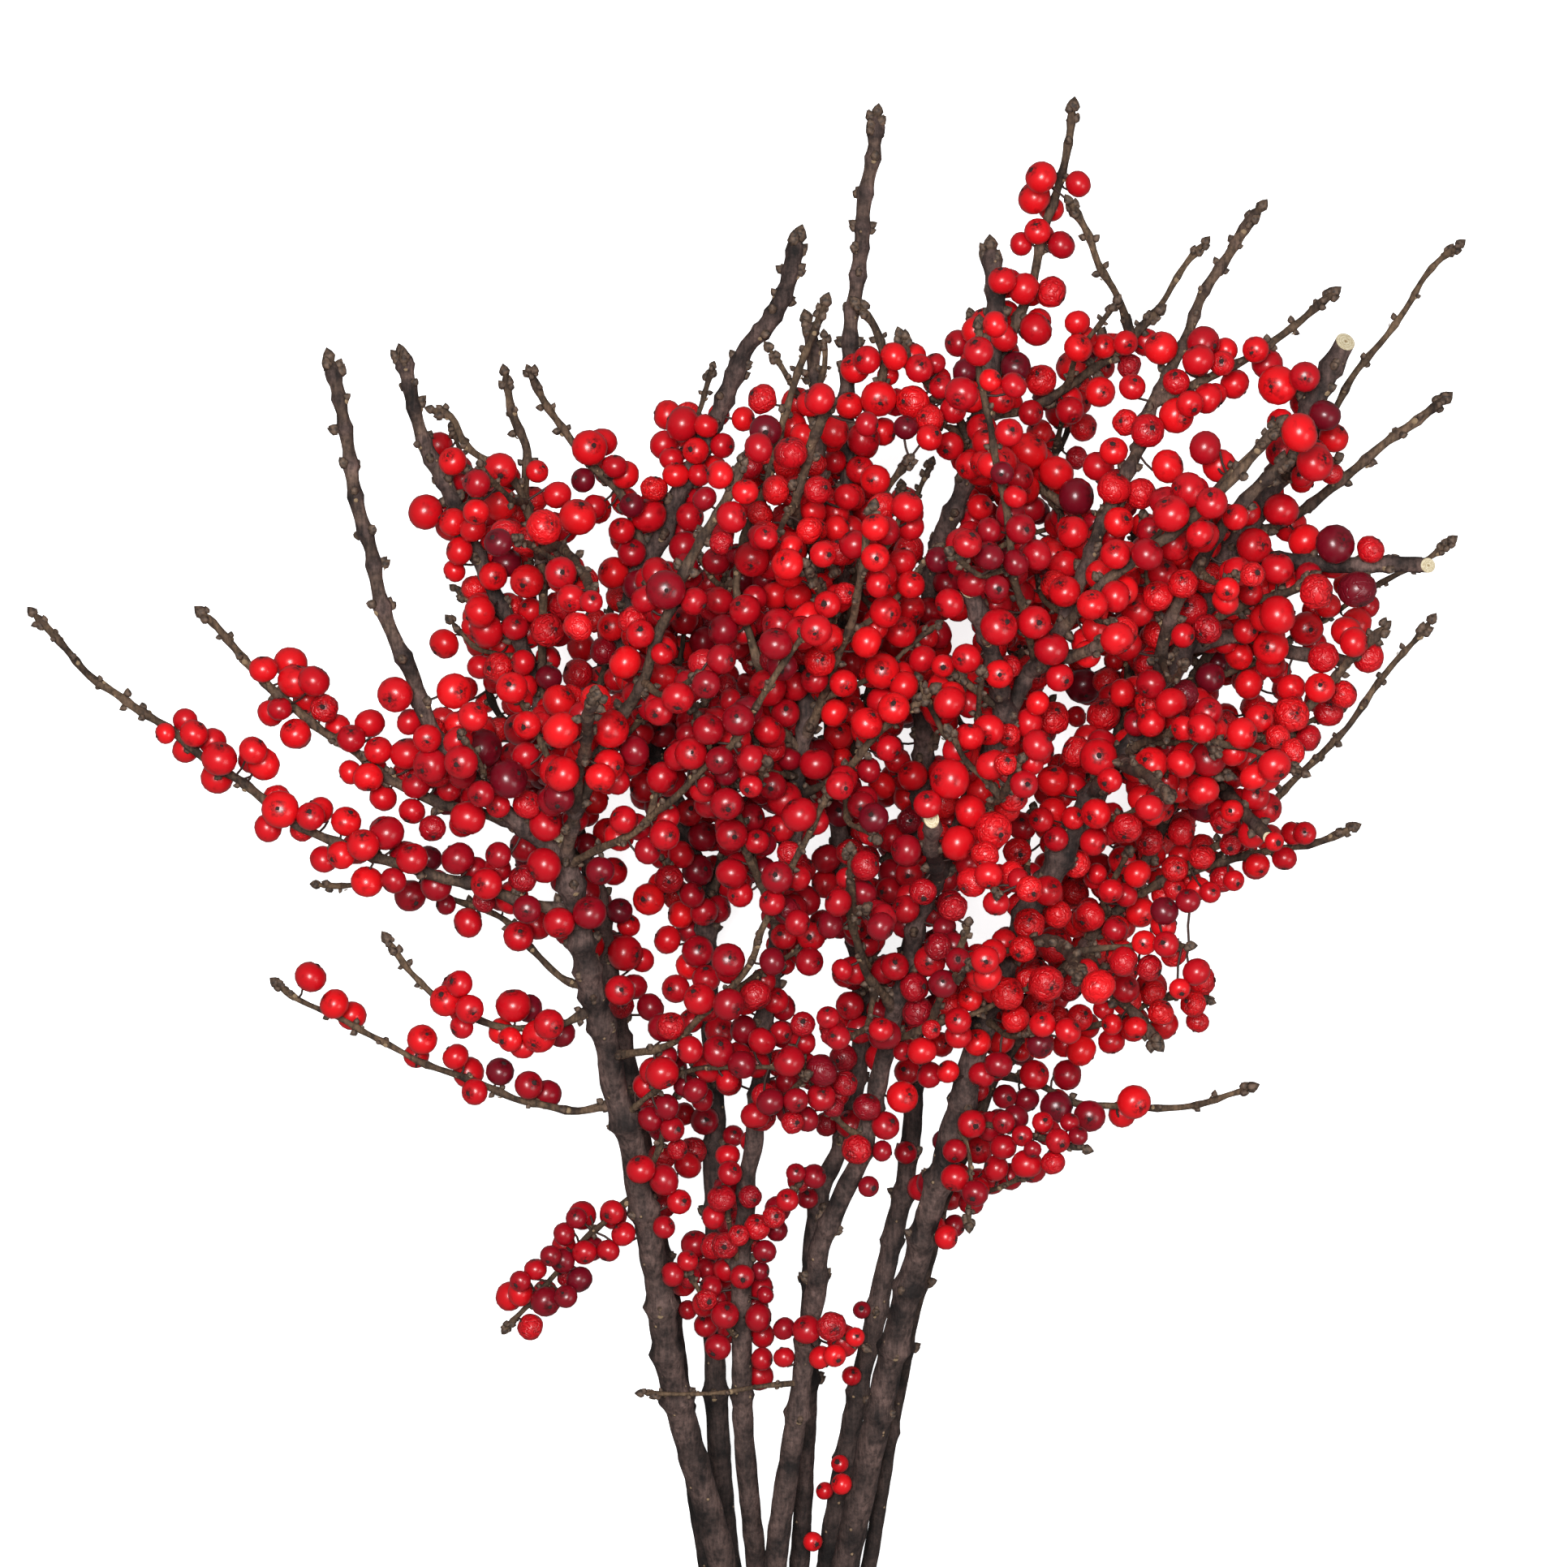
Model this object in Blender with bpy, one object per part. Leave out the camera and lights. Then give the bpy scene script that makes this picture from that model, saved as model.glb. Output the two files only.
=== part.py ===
"""A bunch of nine cut winterberry stems, laid on its side on a table with the cut ends towards -Y.

Each branch grew as one piece, so each is one closed solid: a stem, its twigs and spurs, and the berries
that sit on them. Routes are written in millimetres as an eye high above the table sees them, drawn on a
level plane through the middle of the bunch, with each point's own height above the table beside it.
"""

import math
import random
from collections import namedtuple

import bmesh
import bpy
from mathutils import Matrix, Vector, noise

MM = 0.001

# The eye that the routes are written for, and the place on the table that becomes the origin.
EYE_HEIGHT = 1200.0
MIDDLE_HEIGHT = 100.0
SEEN_CENTRE = Vector((0.0, 231.7))
ORIGIN = Vector((-9.46, 152.26))

# Wood: how far a route wanders and from what height up, the step it is cut into, the points over which a
# twig's route is drawn to its joint, where solids get more sides, and how far their straight runs may stray.
WANDER = 1.6
WANDER_LENGTH = 17.0
WANDER_FROM = 30.0
WANDER_GROWS = 60.0
FINE_STEP = 2.0
JOINT_FADE = 12
TWIG_THICKNESS = 4.3
STEM_THICKNESS = 6.2
STRAY = 0.9
LEAST_STRAY = 0.5

# Spurs: short side shoots that fill the crown's depth.
SPUR_LENGTHS = (24.0, 42.0)
SPUR_THICKNESS = (2.3, 1.7)
SPUR_LEAN = 0.6
SPUR_ROOM = 3.0
SPUR_BERRIES = (0.1, 0.93)
SPUR_GAP = 6.5
BARE_SPURS = (0.5, 0.9)
LOWEST_WOOD = 9.0
HIGHEST_WOOD = 212.0

# Berries: their radius and its spread, how far they stand off the bark, their room, how many try to fit at
# one leaf scar, and the turn from one scar to the next.
BERRY_RADIUS = 4.3
BERRY_SPREAD = 0.42
BERRY_LIMITS = (3.3, 5.2)
BERRY_LIFT = (0.3, 4.2)
BERRY_GAP = 0.05
BERRY_PRESS = 0.7
BERRIES_AT_SCAR = (2, 3, 3, 4)
TRIES = 8
SCAR_TURN = math.radians(137.5)
SEED = 11

# A twig whose tip comes down to the table ends in a berry that the bunch rests on.
RESTING_TIP = 8.0
RESTING_RADIUS = 4.8

# The solids hold fewer berries, at full size, each with its root sunk past the middle of its twig.
SOLID_BERRY_SPACING = 28.0
SUNK = 0.2
BRANCH_GAP = 0.7

# The faces of a solid with twenty faces lie this far out, as a share of its corners' radius.
FACE_REACH = math.sqrt((5 + 2 * math.sqrt(5)) / 15)

Limb = namedtuple("Limb", "name on thick thin points berries gap spurs cut")
Twig = namedtuple("Twig", "spine radii berries gap cut runs")
Berry = namedtuple("Berry", "centre radius twig")


def limb(name, on, thick, thin, points, berries=(0.12, 0.86), gap=7.5, spurs=0, cut=False):
    """One stem or twig: its thickness at both ends, its route, and the part of it that bears berries."""
    return Limb(name, on, thick, thin, points, berries, gap, spurs, cut)


BRANCHES = {
    "branch_left": [
        limb("stem", None, 10.0, 7.0,
             [(-10.3, -100, 13.6), (-11.1, -72, 20.3), (-11.9, -45, 26.3), (-18, 0, 46), (-31.5, 50, 64),
              (-40, 100, 84), (-52, 150, 105), (-61, 190, 122), (-64.5, 211, 129)], berries=None, cut=True),
        limb("leader", "stem", 6.2, 4.2,
             [(-64, 208, 128), (-80, 222, 137), (-99, 240, 146), (-107, 257, 152), (-115, 276, 156),
              (-123, 300, 158), (-129.5, 330, 160), (-134, 357, 160)], berries=(0.08, 0.36), gap=9, spurs=1),
        limb("low twig", "stem", 2.4, 1.7,
             [(-43, 110, 87), (-57, 98.5, 82), (-66, 88, 78), (-76, 78, 72), (-82, 70, 68)], gap=8),
        limb("first side", "stem", 2.8, 2.0,
             [(-49, 137, 100), (-66, 135.5, 98), (-88, 141.5, 94), (-105, 148.5, 90), (-131, 162, 84),
              (-150, 172, 80)],
             gap=19),
        limb("second side", "stem", 2.8, 2.0,
             [(-56, 165, 110), (-68, 160, 114), (-84, 159, 118), (-96, 164.5, 120), (-110, 174.5, 124),
              (-117.5, 185.5, 126)], berries=(0.15, 0.7), gap=9),
        limb("third side", "stem", 2.6, 1.9,
             [(-57, 170, 112), (-66, 175, 106), (-84, 191, 100), (-105, 201, 94), (-119, 202.5, 90),
              (-138, 202, 84)],
             berries=(0.12, 0.45), gap=13),
        limb("long side", "stem", 4.2, 2.4,
             [(-62, 193, 124), (-75, 196, 126), (-95, 202, 128), (-118, 208.5, 128), (-141, 218.5, 126),
              (-160, 231.5, 124), (-182, 247, 122), (-208, 266.5, 120), (-222, 282, 118)],
             berries=(0.1, 0.72), gap=8.5),
        limb("upper side", "leader", 4.0, 2.6,
             [(-80, 219, 133), (-105, 227, 124), (-130, 243, 117), (-152, 260, 112), (-172, 281, 108)],
             berries=(0.15, 0.78), gap=9),
        limb("upright", "stem", 4.6, 3.6,
             [(-63, 208, 129), (-62, 225, 150), (-59, 243, 178), (-56, 258, 203)], spurs=1),
        limb("front leader", "upright", 4.4, 3.2,
             [(-62, 222, 146), (-53, 242, 160), (-41, 264, 172), (-35, 281, 178), (-29, 295, 182),
              (-18, 315, 188), (-13, 327, 191)], berries=(0.1, 0.62), spurs=2),
        limb("olive twig", "stem", 2.8, 2.0,
             [(-62, 207, 128), (-48, 216, 148), (-36.5, 223, 160), (-13, 247.5, 182), (0, 267, 194),
              (8, 279, 200)],
             berries=(0.1, 0.8), gap=9, spurs=1),
        limb("low olive twig", "stem", 2.8, 2.0,
             [(-50, 150, 105), (-33, 155, 122), (-13, 175.5, 145), (-4, 193.5, 160), (8, 220, 176),
              (14.6, 231, 182)],
             gap=9, spurs=1),
        limb("thin front twig", "stem", 2.2, 1.6,
             [(-46, 133, 97), (-38, 140, 108), (-28, 147, 118), (-12, 148, 124), (2, 147, 127)], gap=12),
        limb("inner twig", "stem", 2.4, 1.8,
             [(-43, 112, 88), (-38, 124, 94), (-33, 136, 98), (-26, 149, 104)], berries=(0.05, 0.9), gap=6),
    ],
    "branch_left_back": [
        limb("stem", None, 7.2, 3.8,
             [(-14.2, -100, 3.7), (-15.8, -72, 11), (-17.4, -45, 18.4), (-22.5, 0, 34), (-30, 50, 41),
              (-37, 100, 50), (-46, 150, 57), (-56, 200, 66), (-63, 225, 72), (-69, 243, 78), (-75, 265, 84),
              (-85.5, 289, 90), (-99.5, 318, 94), (-108, 335, 96), (-113, 358, 97)], berries=(0.58, 0.93),
              gap=8, spurs=5, cut=True),
        limb("second top", "stem", 3.4, 2.4,
             [(-70, 247, 79), (-71, 262, 86), (-72, 285, 100), (-74, 305, 110), (-80, 322, 116),
              (-94, 331.5, 118), (-98, 339, 119), (-104, 342, 120)], berries=(0.12, 0.72), spurs=2),
        limb("third top", "second top", 3.6, 2.8,
             [(-72.5, 296, 106), (-76, 316, 103), (-77, 330, 101), (-80, 340, 100), (-83, 353, 99)],
             berries=(0.1, 0.5), spurs=1),
        limb("bud twig", "stem", 2.6, 2.2, [(-97, 312, 94), (-90, 318, 99), (-94, 324, 102)], berries=None),
        limb("thin left tip", "stem", 2.0, 1.6,
             [(-77, 269, 85), (-86, 271, 80), (-92, 273, 76), (-99, 280, 74)],
             gap=9),
        limb("front spur", "second top", 3.4, 2.8,
             [(-73, 300, 108), (-65, 301, 134), (-59, 293, 164), (-56, 287, 186)], berries=(0.1, 0.8),
              spurs=1),
        limb("outer low", "stem", 4.0, 2.4,
             [(-58, 208, 68), (-66, 228, 50), (-80, 246, 20), (-86, 258, 7.5),
              (-90, 272, 6)], berries=(0.12, 0.97), spurs=1),
        limb("inner low", "stem", 3.2, 2.2,
             [(-63, 225, 72), (-58, 248, 56), (-52, 270, 42), (-50, 292, 30)], spurs=2),
    ],
    "branch_middle_back": [
        limb("stem", None, 8.0, 4.6,
             [(-6.9, -100, 4.1), (-7.8, -72, 9.9), (-8.7, -45, 15.8), (-16, 0, 25), (-20, 50, 33.5),
              (-20.5, 100, 38), (-22, 150, 42), (-23, 192, 45), (-30, 220, 52), (-41, 248, 62),
              (-47, 270, 70), (-45, 287, 76), (-37, 303, 82), (-26.6, 327, 88), (-16, 350, 93),
              (-11.5, 361, 95), (-4, 369, 97), (2.4, 384, 98), (4.6, 393, 98)],
             berries=(0.56, 0.88), gap=8, spurs=5, cut=True),
        limb("left top", "stem", 3.8, 2.4,
             [(-40, 298, 80), (-48, 315, 84), (-57, 326, 86), (-68, 340, 88), (-75, 354, 90)],
             berries=(0.05, 0.5), gap=8),
        limb("low shoot", "stem", 4.0, 2.4,
             [(-23, 185, 45), (-18, 215, 34), (-12, 245, 22), (-9, 268, 8), (-10, 284, 6)],
             berries=(0.15, 0.97), spurs=2),
        limb("second low", "stem", 3.2, 2.2,
             [(-33, 228, 55), (-34, 255, 38), (-32, 280, 26), (-30, 305, 22)], spurs=2),
        limb("inner", "stem", 3.6, 2.4,
             [(-23, 195, 46), (-12, 222, 58), (-6, 250, 70), (-10, 278, 82), (-16, 300, 88)], spurs=3),
    ],
    "branch_middle_left": [
        limb("stem", None, 7.4, 3.6,
             [(-2.2, -100, 11), (-2.1, -72, 18), (-2, -45, 24.6), (-8, 0, 44), (-12.5, 50, 62),
              (-12, 100, 80), (-6.5, 150, 101), (-2, 184, 117), (2, 215, 128), (6, 245, 134), (8.5, 275, 136),
              (9, 300, 134), (11, 325, 128), (10, 350, 122), (6.5, 369, 118)], berries=(0.32, 0.92),
              gap=9, spurs=4, cut=True),
        limb("brown twig", "stem", 3.0, 2.4,
             [(5, 240, 133), (-6, 262, 142), (-13, 285, 146), (-12, 305, 144), (-8, 316, 142),
              (-2.5, 330, 140), (0.5, 342, 138), (6, 358, 136), (12.5, 374, 134)], berries=(0.1, 0.66),
              spurs=3),
        limb("thin top", "stem", 2.2, 1.8, [(9.5, 330, 127), (7, 340, 126), (2, 351, 124), (-4.6, 360, 122)],
             berries=(0.05, 0.5), gap=6),
        limb("bud twig", "stem", 2.0, 1.7,
             [(10.3, 348, 123), (12.8, 355, 126), (12.4, 364, 128)], berries=None),
        limb("dark front twig", "stem", 3.6, 3.2,
             [(9, 298, 134), (4, 308, 150), (4, 318, 160), (8, 331, 168),
              (13, 345, 175)], berries=(0.05, 0.66), spurs=2),
        limb("end-on twig", "stem", 3.2, 2.8,
             [(8, 266, 136), (13.5, 272, 150), (13, 283, 165), (9, 291, 176), (6, 297, 184)], spurs=1),
        limb("low front", "stem", 3.4, 2.2,
             [(-1, 190, 119), (-8, 205, 136), (-14, 222, 150), (-20, 236, 160), (-27, 254, 164)],
             berries=(0.1, 0.92), spurs=2),
        limb("mid front", "stem", 3.4, 2.2,
             [(6, 245, 134), (14, 262, 152), (20, 279, 170), (24, 296, 184), (26, 313, 192)],
             berries=(0.1, 0.92), spurs=3),
        limb("dark side twig", "stem", 3.0, 2.4,
             [(4, 228, 131), (19, 237, 152), (30.5, 249, 164), (44, 259, 172)], berries=(0.1, 0.7), spurs=1),
        limb("low spur", "stem", 2.0, 1.6, [(-12, 88, 76), (-15, 96, 84), (-17, 106, 90), (-16, 116, 92)],
             berries=(0.0, 0.95), gap=7),
        limb("lower spur", "stem", 2.0, 1.6, [(-13, 66, 68), (-18, 72, 76), (-23, 79, 80), (-29, 89, 84)],
             berries=(0.0, 0.95), gap=7),
        limb("right spur", "stem", 2.0, 1.6, [(-11, 93, 78), (-5, 100, 84), (2, 108, 92), (6, 116, 96)],
             berries=(0.05, 0.95), gap=7),
    ],
    "branch_middle": [
        limb("stem", None, 8.2, 2.7,
             [(-0.5, -100, 19.9), (-1.9, -72, 27.8), (-3.2, -45, 35), (-2.5, 0, 54), (4.5, 50, 69),
              (8.5, 80, 80), (12.5, 100, 88), (22.5, 120, 97), (29, 150, 110), (37, 180, 126), (40, 192, 132),
              (50, 215, 142), (60, 240, 148), (70, 260, 152), (80, 275, 154), (88, 292, 152), (95, 311, 146),
              (101, 323, 142), (106, 335, 138), (110, 346, 134), (117.4, 362, 130), (125, 379, 126),
              (135.6, 394.6, 124), (141, 402, 123)],
             berries=(0.52, 0.84), gap=8, spurs=6, cut=True),
        limb("low cross twig", "stem", 1.8, 1.4,
             [(5, 54, 71), (-3, 53.5, 75), (-20, 51.5, 76), (-42, 51.5, 76)],
             berries=None),
        limb("low spur", "stem", 2.0, 1.6, [(8, 66, 75), (12, 69, 81), (17, 68, 84), (24, 64.5, 87)],
             berries=(0.05, 1.0), gap=6),
        limb("long olive twig", "stem", 3.0, 2.2,
             [(76, 268, 154), (73, 274, 164), (69, 293, 178), (63.8, 321, 187), (59.3, 346, 191),
              (58, 368, 191)],
             berries=(0.2, 0.62), gap=13, spurs=1),
        limb("cut twig", "stem", 3.4, 3.2, [(73, 265, 153), (80, 268, 162), (88, 270, 170), (95.5, 272, 176)],
             berries=(0.2, 0.75), gap=9, cut=True),
        limb("cut stub", "stem", 5.0, 4.8, [(64, 250, 150), (64, 262, 162), (60, 274, 172), (55.4, 287, 180)],
             berries=(0.1, 0.7), cut=True),
        limb("knobbed twig", "stem", 4.2, 3.0,
             [(80, 275, 154), (88, 284, 166), (102, 296, 176), (117, 307, 182), (129.6, 318, 186),
              (140, 330, 190), (146, 338, 192)], berries=(0.1, 0.72), spurs=3),
        limb("top right side", "stem", 3.4, 2.4,
             [(109, 344, 135), (122, 351, 132), (137, 358, 128), (152.6, 368, 124), (162.5, 377, 122)],
             berries=(0.08, 0.62), gap=9),
        limb("thin olive twig", "stem", 2.4, 1.8,
             [(55, 228, 145), (54, 238, 151), (47, 248, 150), (40, 262, 148)],
             gap=8),
        limb("olive side twig", "stem", 3.0, 2.6, [(66, 252, 150), (58, 260, 158), (50, 264, 161)],
             berries=(0.1, 0.95)),
        limb("front knob", "stem", 4.6, 4.4, [(44, 200, 136), (45, 208, 156), (43, 220, 182)], cut=True,
             berries=(0.1, 0.8), gap=6.5),
        limb("front cluster", "stem", 3.4, 2.4,
             [(51, 217, 142), (60, 224, 164), (66, 230, 184), (70, 238, 196)], berries=(0.1, 0.97), spurs=2),
        limb("low front", "stem", 3.2, 2.2, [(33, 165, 118), (24, 178, 136), (20, 194, 152), (20, 212, 164)],
             berries=(0.08, 0.95), spurs=2),
        limb("low right", "stem", 3.2, 2.2, [(31, 155, 112), (42, 160, 128), (48, 172, 142), (55, 190, 156)],
             berries=(0.08, 0.95), spurs=2),
        limb("lowest front", "stem", 2.4, 1.8, [(24, 126, 100), (15, 134, 112), (8, 143, 122), (3, 152, 130)],
             berries=(0.1, 0.95), gap=6),
    ],
    "branch_centre_back": [
        limb("stem", None, 6.6, 4.0,
             [(0.1, -100, 3.4), (-0.2, -72, 9.5), (-0.6, -45, 15.6), (4.5, 0, 32), (7, 50, 44.5),
              (9, 100, 55), (19, 133, 61), (23, 160, 66), (21, 186, 71), (17, 215, 80), (15, 245, 88),
              (16, 275, 94), (18, 300, 98), (19, 320, 100), (17.5, 346, 102), (20.9, 373, 104),
              (24, 402, 105), (27.8, 430, 105)],
             berries=(0.5, 0.83), gap=8, spurs=5, cut=True),
        limb("knobbed top", "stem", 3.0, 2.8,
             [(18, 330, 101), (27, 345, 108), (29, 357, 112), (26, 366, 114), (21.5, 373, 116)],
             berries=(0.05, 0.6)),
        limb("outer low", "stem", 4.0, 2.4,
             [(22, 180, 70), (30, 205, 52), (38, 230, 30), (42, 254, 8.5), (44, 270, 6)],
             berries=(0.15, 0.97), spurs=2),
        limb("second low", "stem", 3.2, 2.2,
             [(16, 225, 83), (22, 250, 66), (28, 275, 48), (30, 300, 34), (30, 322, 26)], spurs=3),
        limb("right tip", "stem", 3.2, 2.2,
             [(16, 278, 95), (22, 298, 108), (30, 317, 120), (37, 328, 126)], berries=(0.1, 0.62), spurs=1),
    ],
    "branch_right_back": [
        limb("stem", None, 6.8, 5.2,
             [(6.6, -100, 3.5), (6.8, -72, 11.8), (7, -45, 20.2), (12.5, 0, 30), (21.5, 50, 38),
              (33.5, 100, 44), (38, 140, 47), (38, 184, 50), (40, 215, 58), (41, 245, 66), (42, 270, 74),
              (43, 287, 80), (46, 302, 86), (51, 316, 92), (57.6, 332, 97), (60, 350, 100), (62.6, 365, 102),
              (63, 378, 103), (61.4, 390, 103)],
             berries=(0.55, 0.95), gap=8, spurs=5, cut=True),
        limb("grey twig", "stem", 3.6, 3.0,
             [(56, 329, 96), (50, 342.5, 104), (44, 349, 110), (37.7, 356, 115), (34, 364, 118)],
             berries=(0.3, 0.9), gap=6),
        limb("olive twig", "stem", 2.6, 2.0,
             [(55, 328, 95), (50, 336, 108), (44, 339, 118)], berries=(0.2, 1.0)),
        limb("tall top", "stem", 4.0, 2.8,
             [(60, 345, 99), (66, 359, 98), (73, 378, 97), (78, 399, 97), (84.5, 419, 97), (86.4, 431, 97)],
             berries=(0.1, 0.78), gap=8),
        limb("right top", "stem", 3.8, 2.8,
             [(59, 340, 98), (70, 342, 92), (84, 349, 90), (99, 359, 88), (106, 367, 88), (111, 372, 90)],
             berries=(0.1, 0.84), spurs=1),
        limb("leaning back twig", "right top", 3.0, 2.4,
             [(103, 363, 88), (99, 373, 94), (93.6, 384, 100), (90, 394.6, 104),
              (83.8, 404, 108)], berries=None),
        limb("thin right top", "right top", 2.4, 2.0,
             [(106, 367, 88), (112, 374, 86), (119, 385, 84), (124, 391, 83)],
             berries=None),
        limb("dark side", "stem", 4.0, 3.0,
             [(58, 333, 97), (66, 328, 106), (75, 321, 112), (83, 314, 118), (90, 305, 120)], spurs=2),
        limb("outer low", "stem", 4.0, 2.4,
             [(40, 210, 57), (54, 228, 40), (64, 250, 22), (70, 270, 8), (71, 286, 6)],
             berries=(0.15, 0.97), spurs=2),
        limb("upper low", "stem", 3.4, 2.2,
             [(43, 287, 80), (58, 300, 62), (70, 315, 46), (80, 330, 36), (86, 342, 30)], spurs=3),
        limb("middle", "stem", 3.6, 2.4,
             [(41, 240, 65), (52, 258, 76), (64, 275, 84), (76, 290, 90), (84, 305, 94)], spurs=4),
    ],
    "branch_right": [
        limb("stem", None, 9.6, 6.0,
             [(5.9, -100, 13), (6.7, -72, 22.2), (7.4, -45, 31), (18, 0, 43.5), (29, 50, 60), (41.5, 100, 79),
              (56, 150, 99), (62, 172, 107), (78, 204, 116), (92, 228, 120), (108, 251, 122), (118, 270, 123),
              (127, 290, 124), (134, 303, 126), (142, 317, 128), (152, 335, 130), (165, 360, 132)],
             berries=(0.55, 0.96), gap=9, spurs=6, cut=True),
        limb("low side", "stem", 2.4, 1.8,
             [(47, 123, 90), (58, 130, 96), (70, 128, 100), (89, 123, 104)], gap=6.5),
        limb("hanging twig", "stem", 1.8, 1.4,
             [(52, 130, 93), (56, 120, 99), (54.5, 101, 102)], berries=None),
        limb("end-on cluster", "stem", 4.4, 3.6,
             [(66, 180, 110), (76, 185, 134), (84, 182, 160), (87, 175, 182)], berries=(0.1, 0.82),
              gap=6, spurs=2),
        limb("end-on olive twig", "stem", 4.4, 3.8,
             [(92, 228, 120), (98, 238, 140), (104, 236, 165), (113, 228.5, 188)], berries=(0.1, 0.7),
              spurs=1),
        limb("front branch", "stem", 5.0, 3.8,
             [(110, 255, 123), (112, 270, 140), (117, 285, 152), (123, 296, 158), (129.6, 307, 162),
              (142, 321, 168), (149.5, 328, 172)], berries=(0.08, 0.66), spurs=3),
        limb("long bare twig", "stem", 3.8, 3.0,
             [(136, 306, 127), (147, 309, 122), (162, 319, 118), (178, 332, 114), (194.6, 346, 110)],
             berries=(0.05, 0.22), gap=6),
        limb("thin top twig", "stem", 3.0, 2.0,
             [(144, 320, 128), (152, 328, 120), (163, 342, 112), (171, 355, 108), (182, 370, 104),
              (192, 385, 101), (199, 391, 100)], berries=(0.05, 0.5), gap=9),
        limb("cut side", "stem", 5.0, 4.4,
             [(131, 297, 125), (141, 298.5, 130), (160, 297, 136), (189.4, 296.6, 142)],
             berries=(0.05, 0.75), gap=10, cut=True),
        limb("thin side", "stem", 2.6, 1.9,
             [(112, 256, 121), (125, 262, 106), (141, 269, 96), (158, 279, 92), (176, 290.5, 90),
              (189, 298, 90), (196.6, 303, 90)], berries=(0.08, 0.72), gap=11),
        limb("knobbed side", "stem", 3.8, 2.8,
             [(120, 274, 124), (128, 280, 134), (139, 286, 142), (150, 289, 147), (156, 293, 149)],
             berries=(0.05, 0.8), gap=8),
        limb("second cut side", "stem", 4.2, 4.0,
             [(119, 272, 123), (133, 275, 116), (150, 271.5, 112), (165, 267, 110)],
             berries=(0.05, 0.86), gap=7, cut=True),
        limb("right low", "stem", 4.4, 2.6,
             [(108, 250, 121), (120, 262, 96), (130, 278, 74), (136, 296, 54), (138, 312, 40)], spurs=3),
        limb("back low", "stem", 4.0, 2.4,
             [(92, 228, 120), (98, 245, 92), (102, 265, 66), (104, 288, 44), (104, 308, 28)], spurs=4),
        limb("front low", "stem", 3.2, 2.2,
             [(100, 240, 121), (112, 246, 146), (121, 246, 166), (129, 240, 180)],
             berries=(0.1, 0.97), spurs=2),
    ],
    "branch_right_low": [
        limb("stem", None, 6.2, 1.9,
             [(12.9, -100, 3.2), (13.8, -72, 10.8), (14.6, -45, 18.4), (25, 0, 28), (33.5, 50, 38),
              (45, 100, 51), (55, 128, 58), (63, 146, 63), (75, 166, 68), (88, 184, 72), (102, 196, 75),
              (115, 204, 78), (126, 207, 80), (142.6, 211.5, 84), (157, 213.3, 88),
              (167.5, 218, 90)], berries=(0.55, 0.93), gap=8, spurs=4, cut=True),
        limb("bare side", "stem", 3.0, 2.0,
             [(63, 146, 63), (76, 142.5, 66), (90, 137.5, 70), (116, 135, 74), (130, 139, 77),
              (138, 141.5, 78)],
             berries=(0.1, 0.5), gap=16),
        limb("second side", "stem", 2.8, 2.0,
             [(72, 161, 67), (80, 160, 72), (92, 161, 76), (108, 167, 80), (118, 169.5, 82), (126, 167, 84)],
             berries=(0.15, 0.97), gap=6.5),
        limb("drooping knob", "stem", 4.0, 3.6,
             [(88, 184, 72), (92, 176, 88), (97, 170, 98), (104, 163, 105),
              (110, 156, 110)], berries=(0.2, 0.6), gap=7),
        limb("long thin twig", "stem", 3.2, 2.0,
             [(112, 202, 77), (124, 211, 84), (135, 217.5, 90), (144, 225.5, 93), (158, 240, 96),
              (170, 253, 98), (184.6, 271.4, 99), (191, 280, 99)], berries=(0.05, 0.2), gap=6),
        limb("bud twig", "stem", 4.2, 2.8,
             [(102, 196, 75), (108, 212, 84), (117, 228, 93), (125, 236, 100), (134, 239.5, 106),
              (141, 243, 110), (156, 255, 116), (167, 267.5, 120), (178, 278, 122)], berries=(0.12, 0.9),
              spurs=2),
        limb("end-on twig", "bud twig", 4.0, 3.6,
             [(124, 235, 99), (130, 231, 115), (137, 223, 130), (143, 215, 142)],
             berries=(0.1, 0.75), gap=8, cut=True),
        limb("outer low", "stem", 3.6, 2.4,
             [(75, 166, 68), (86, 182, 50), (100, 198, 32), (112, 216, 14), (118, 230, 6.5), (121, 242, 6)],
             berries=(0.2, 0.97), spurs=2),
        limb("upper low", "bud twig", 3.4, 2.2,
             [(117, 228, 93), (126, 236, 66), (134, 246, 44), (140, 258, 30), (142, 272, 22)], spurs=2),
        limb("inner low", "stem", 3.0, 2.2,
             [(63, 146, 63), (70, 160, 44), (76, 178, 26), (80, 194, 9), (82, 210, 6)], berries=(0.2, 0.97),
              spurs=1),
    ],
}


def place(seen):
    """Where a point lies that the eye sees at x, y on the middle plane, at height z, with a little wander."""
    x, y, z = seen
    nearer = (EYE_HEIGHT - (z - MIDDLE_HEIGHT)) / EYE_HEIGHT
    flat = SEEN_CENTRE + (Vector((x, y)) - SEEN_CENTRE) * nearer - ORIGIN
    return Vector((flat.x, flat.y, z))


def wander(point):
    """Wood is never quite straight: a smooth drift that is the same for all wood at one place."""
    reach = max(0.0, min(1.0, (point.y + ORIGIN.y - WANDER_FROM) / WANDER_GROWS))
    drift = Vector([noise.noise(point / WANDER_LENGTH + Vector((shift, 0, 0))) for shift in (0.0, 31.7, 71.3)])
    return point + drift * WANDER * reach


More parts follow.
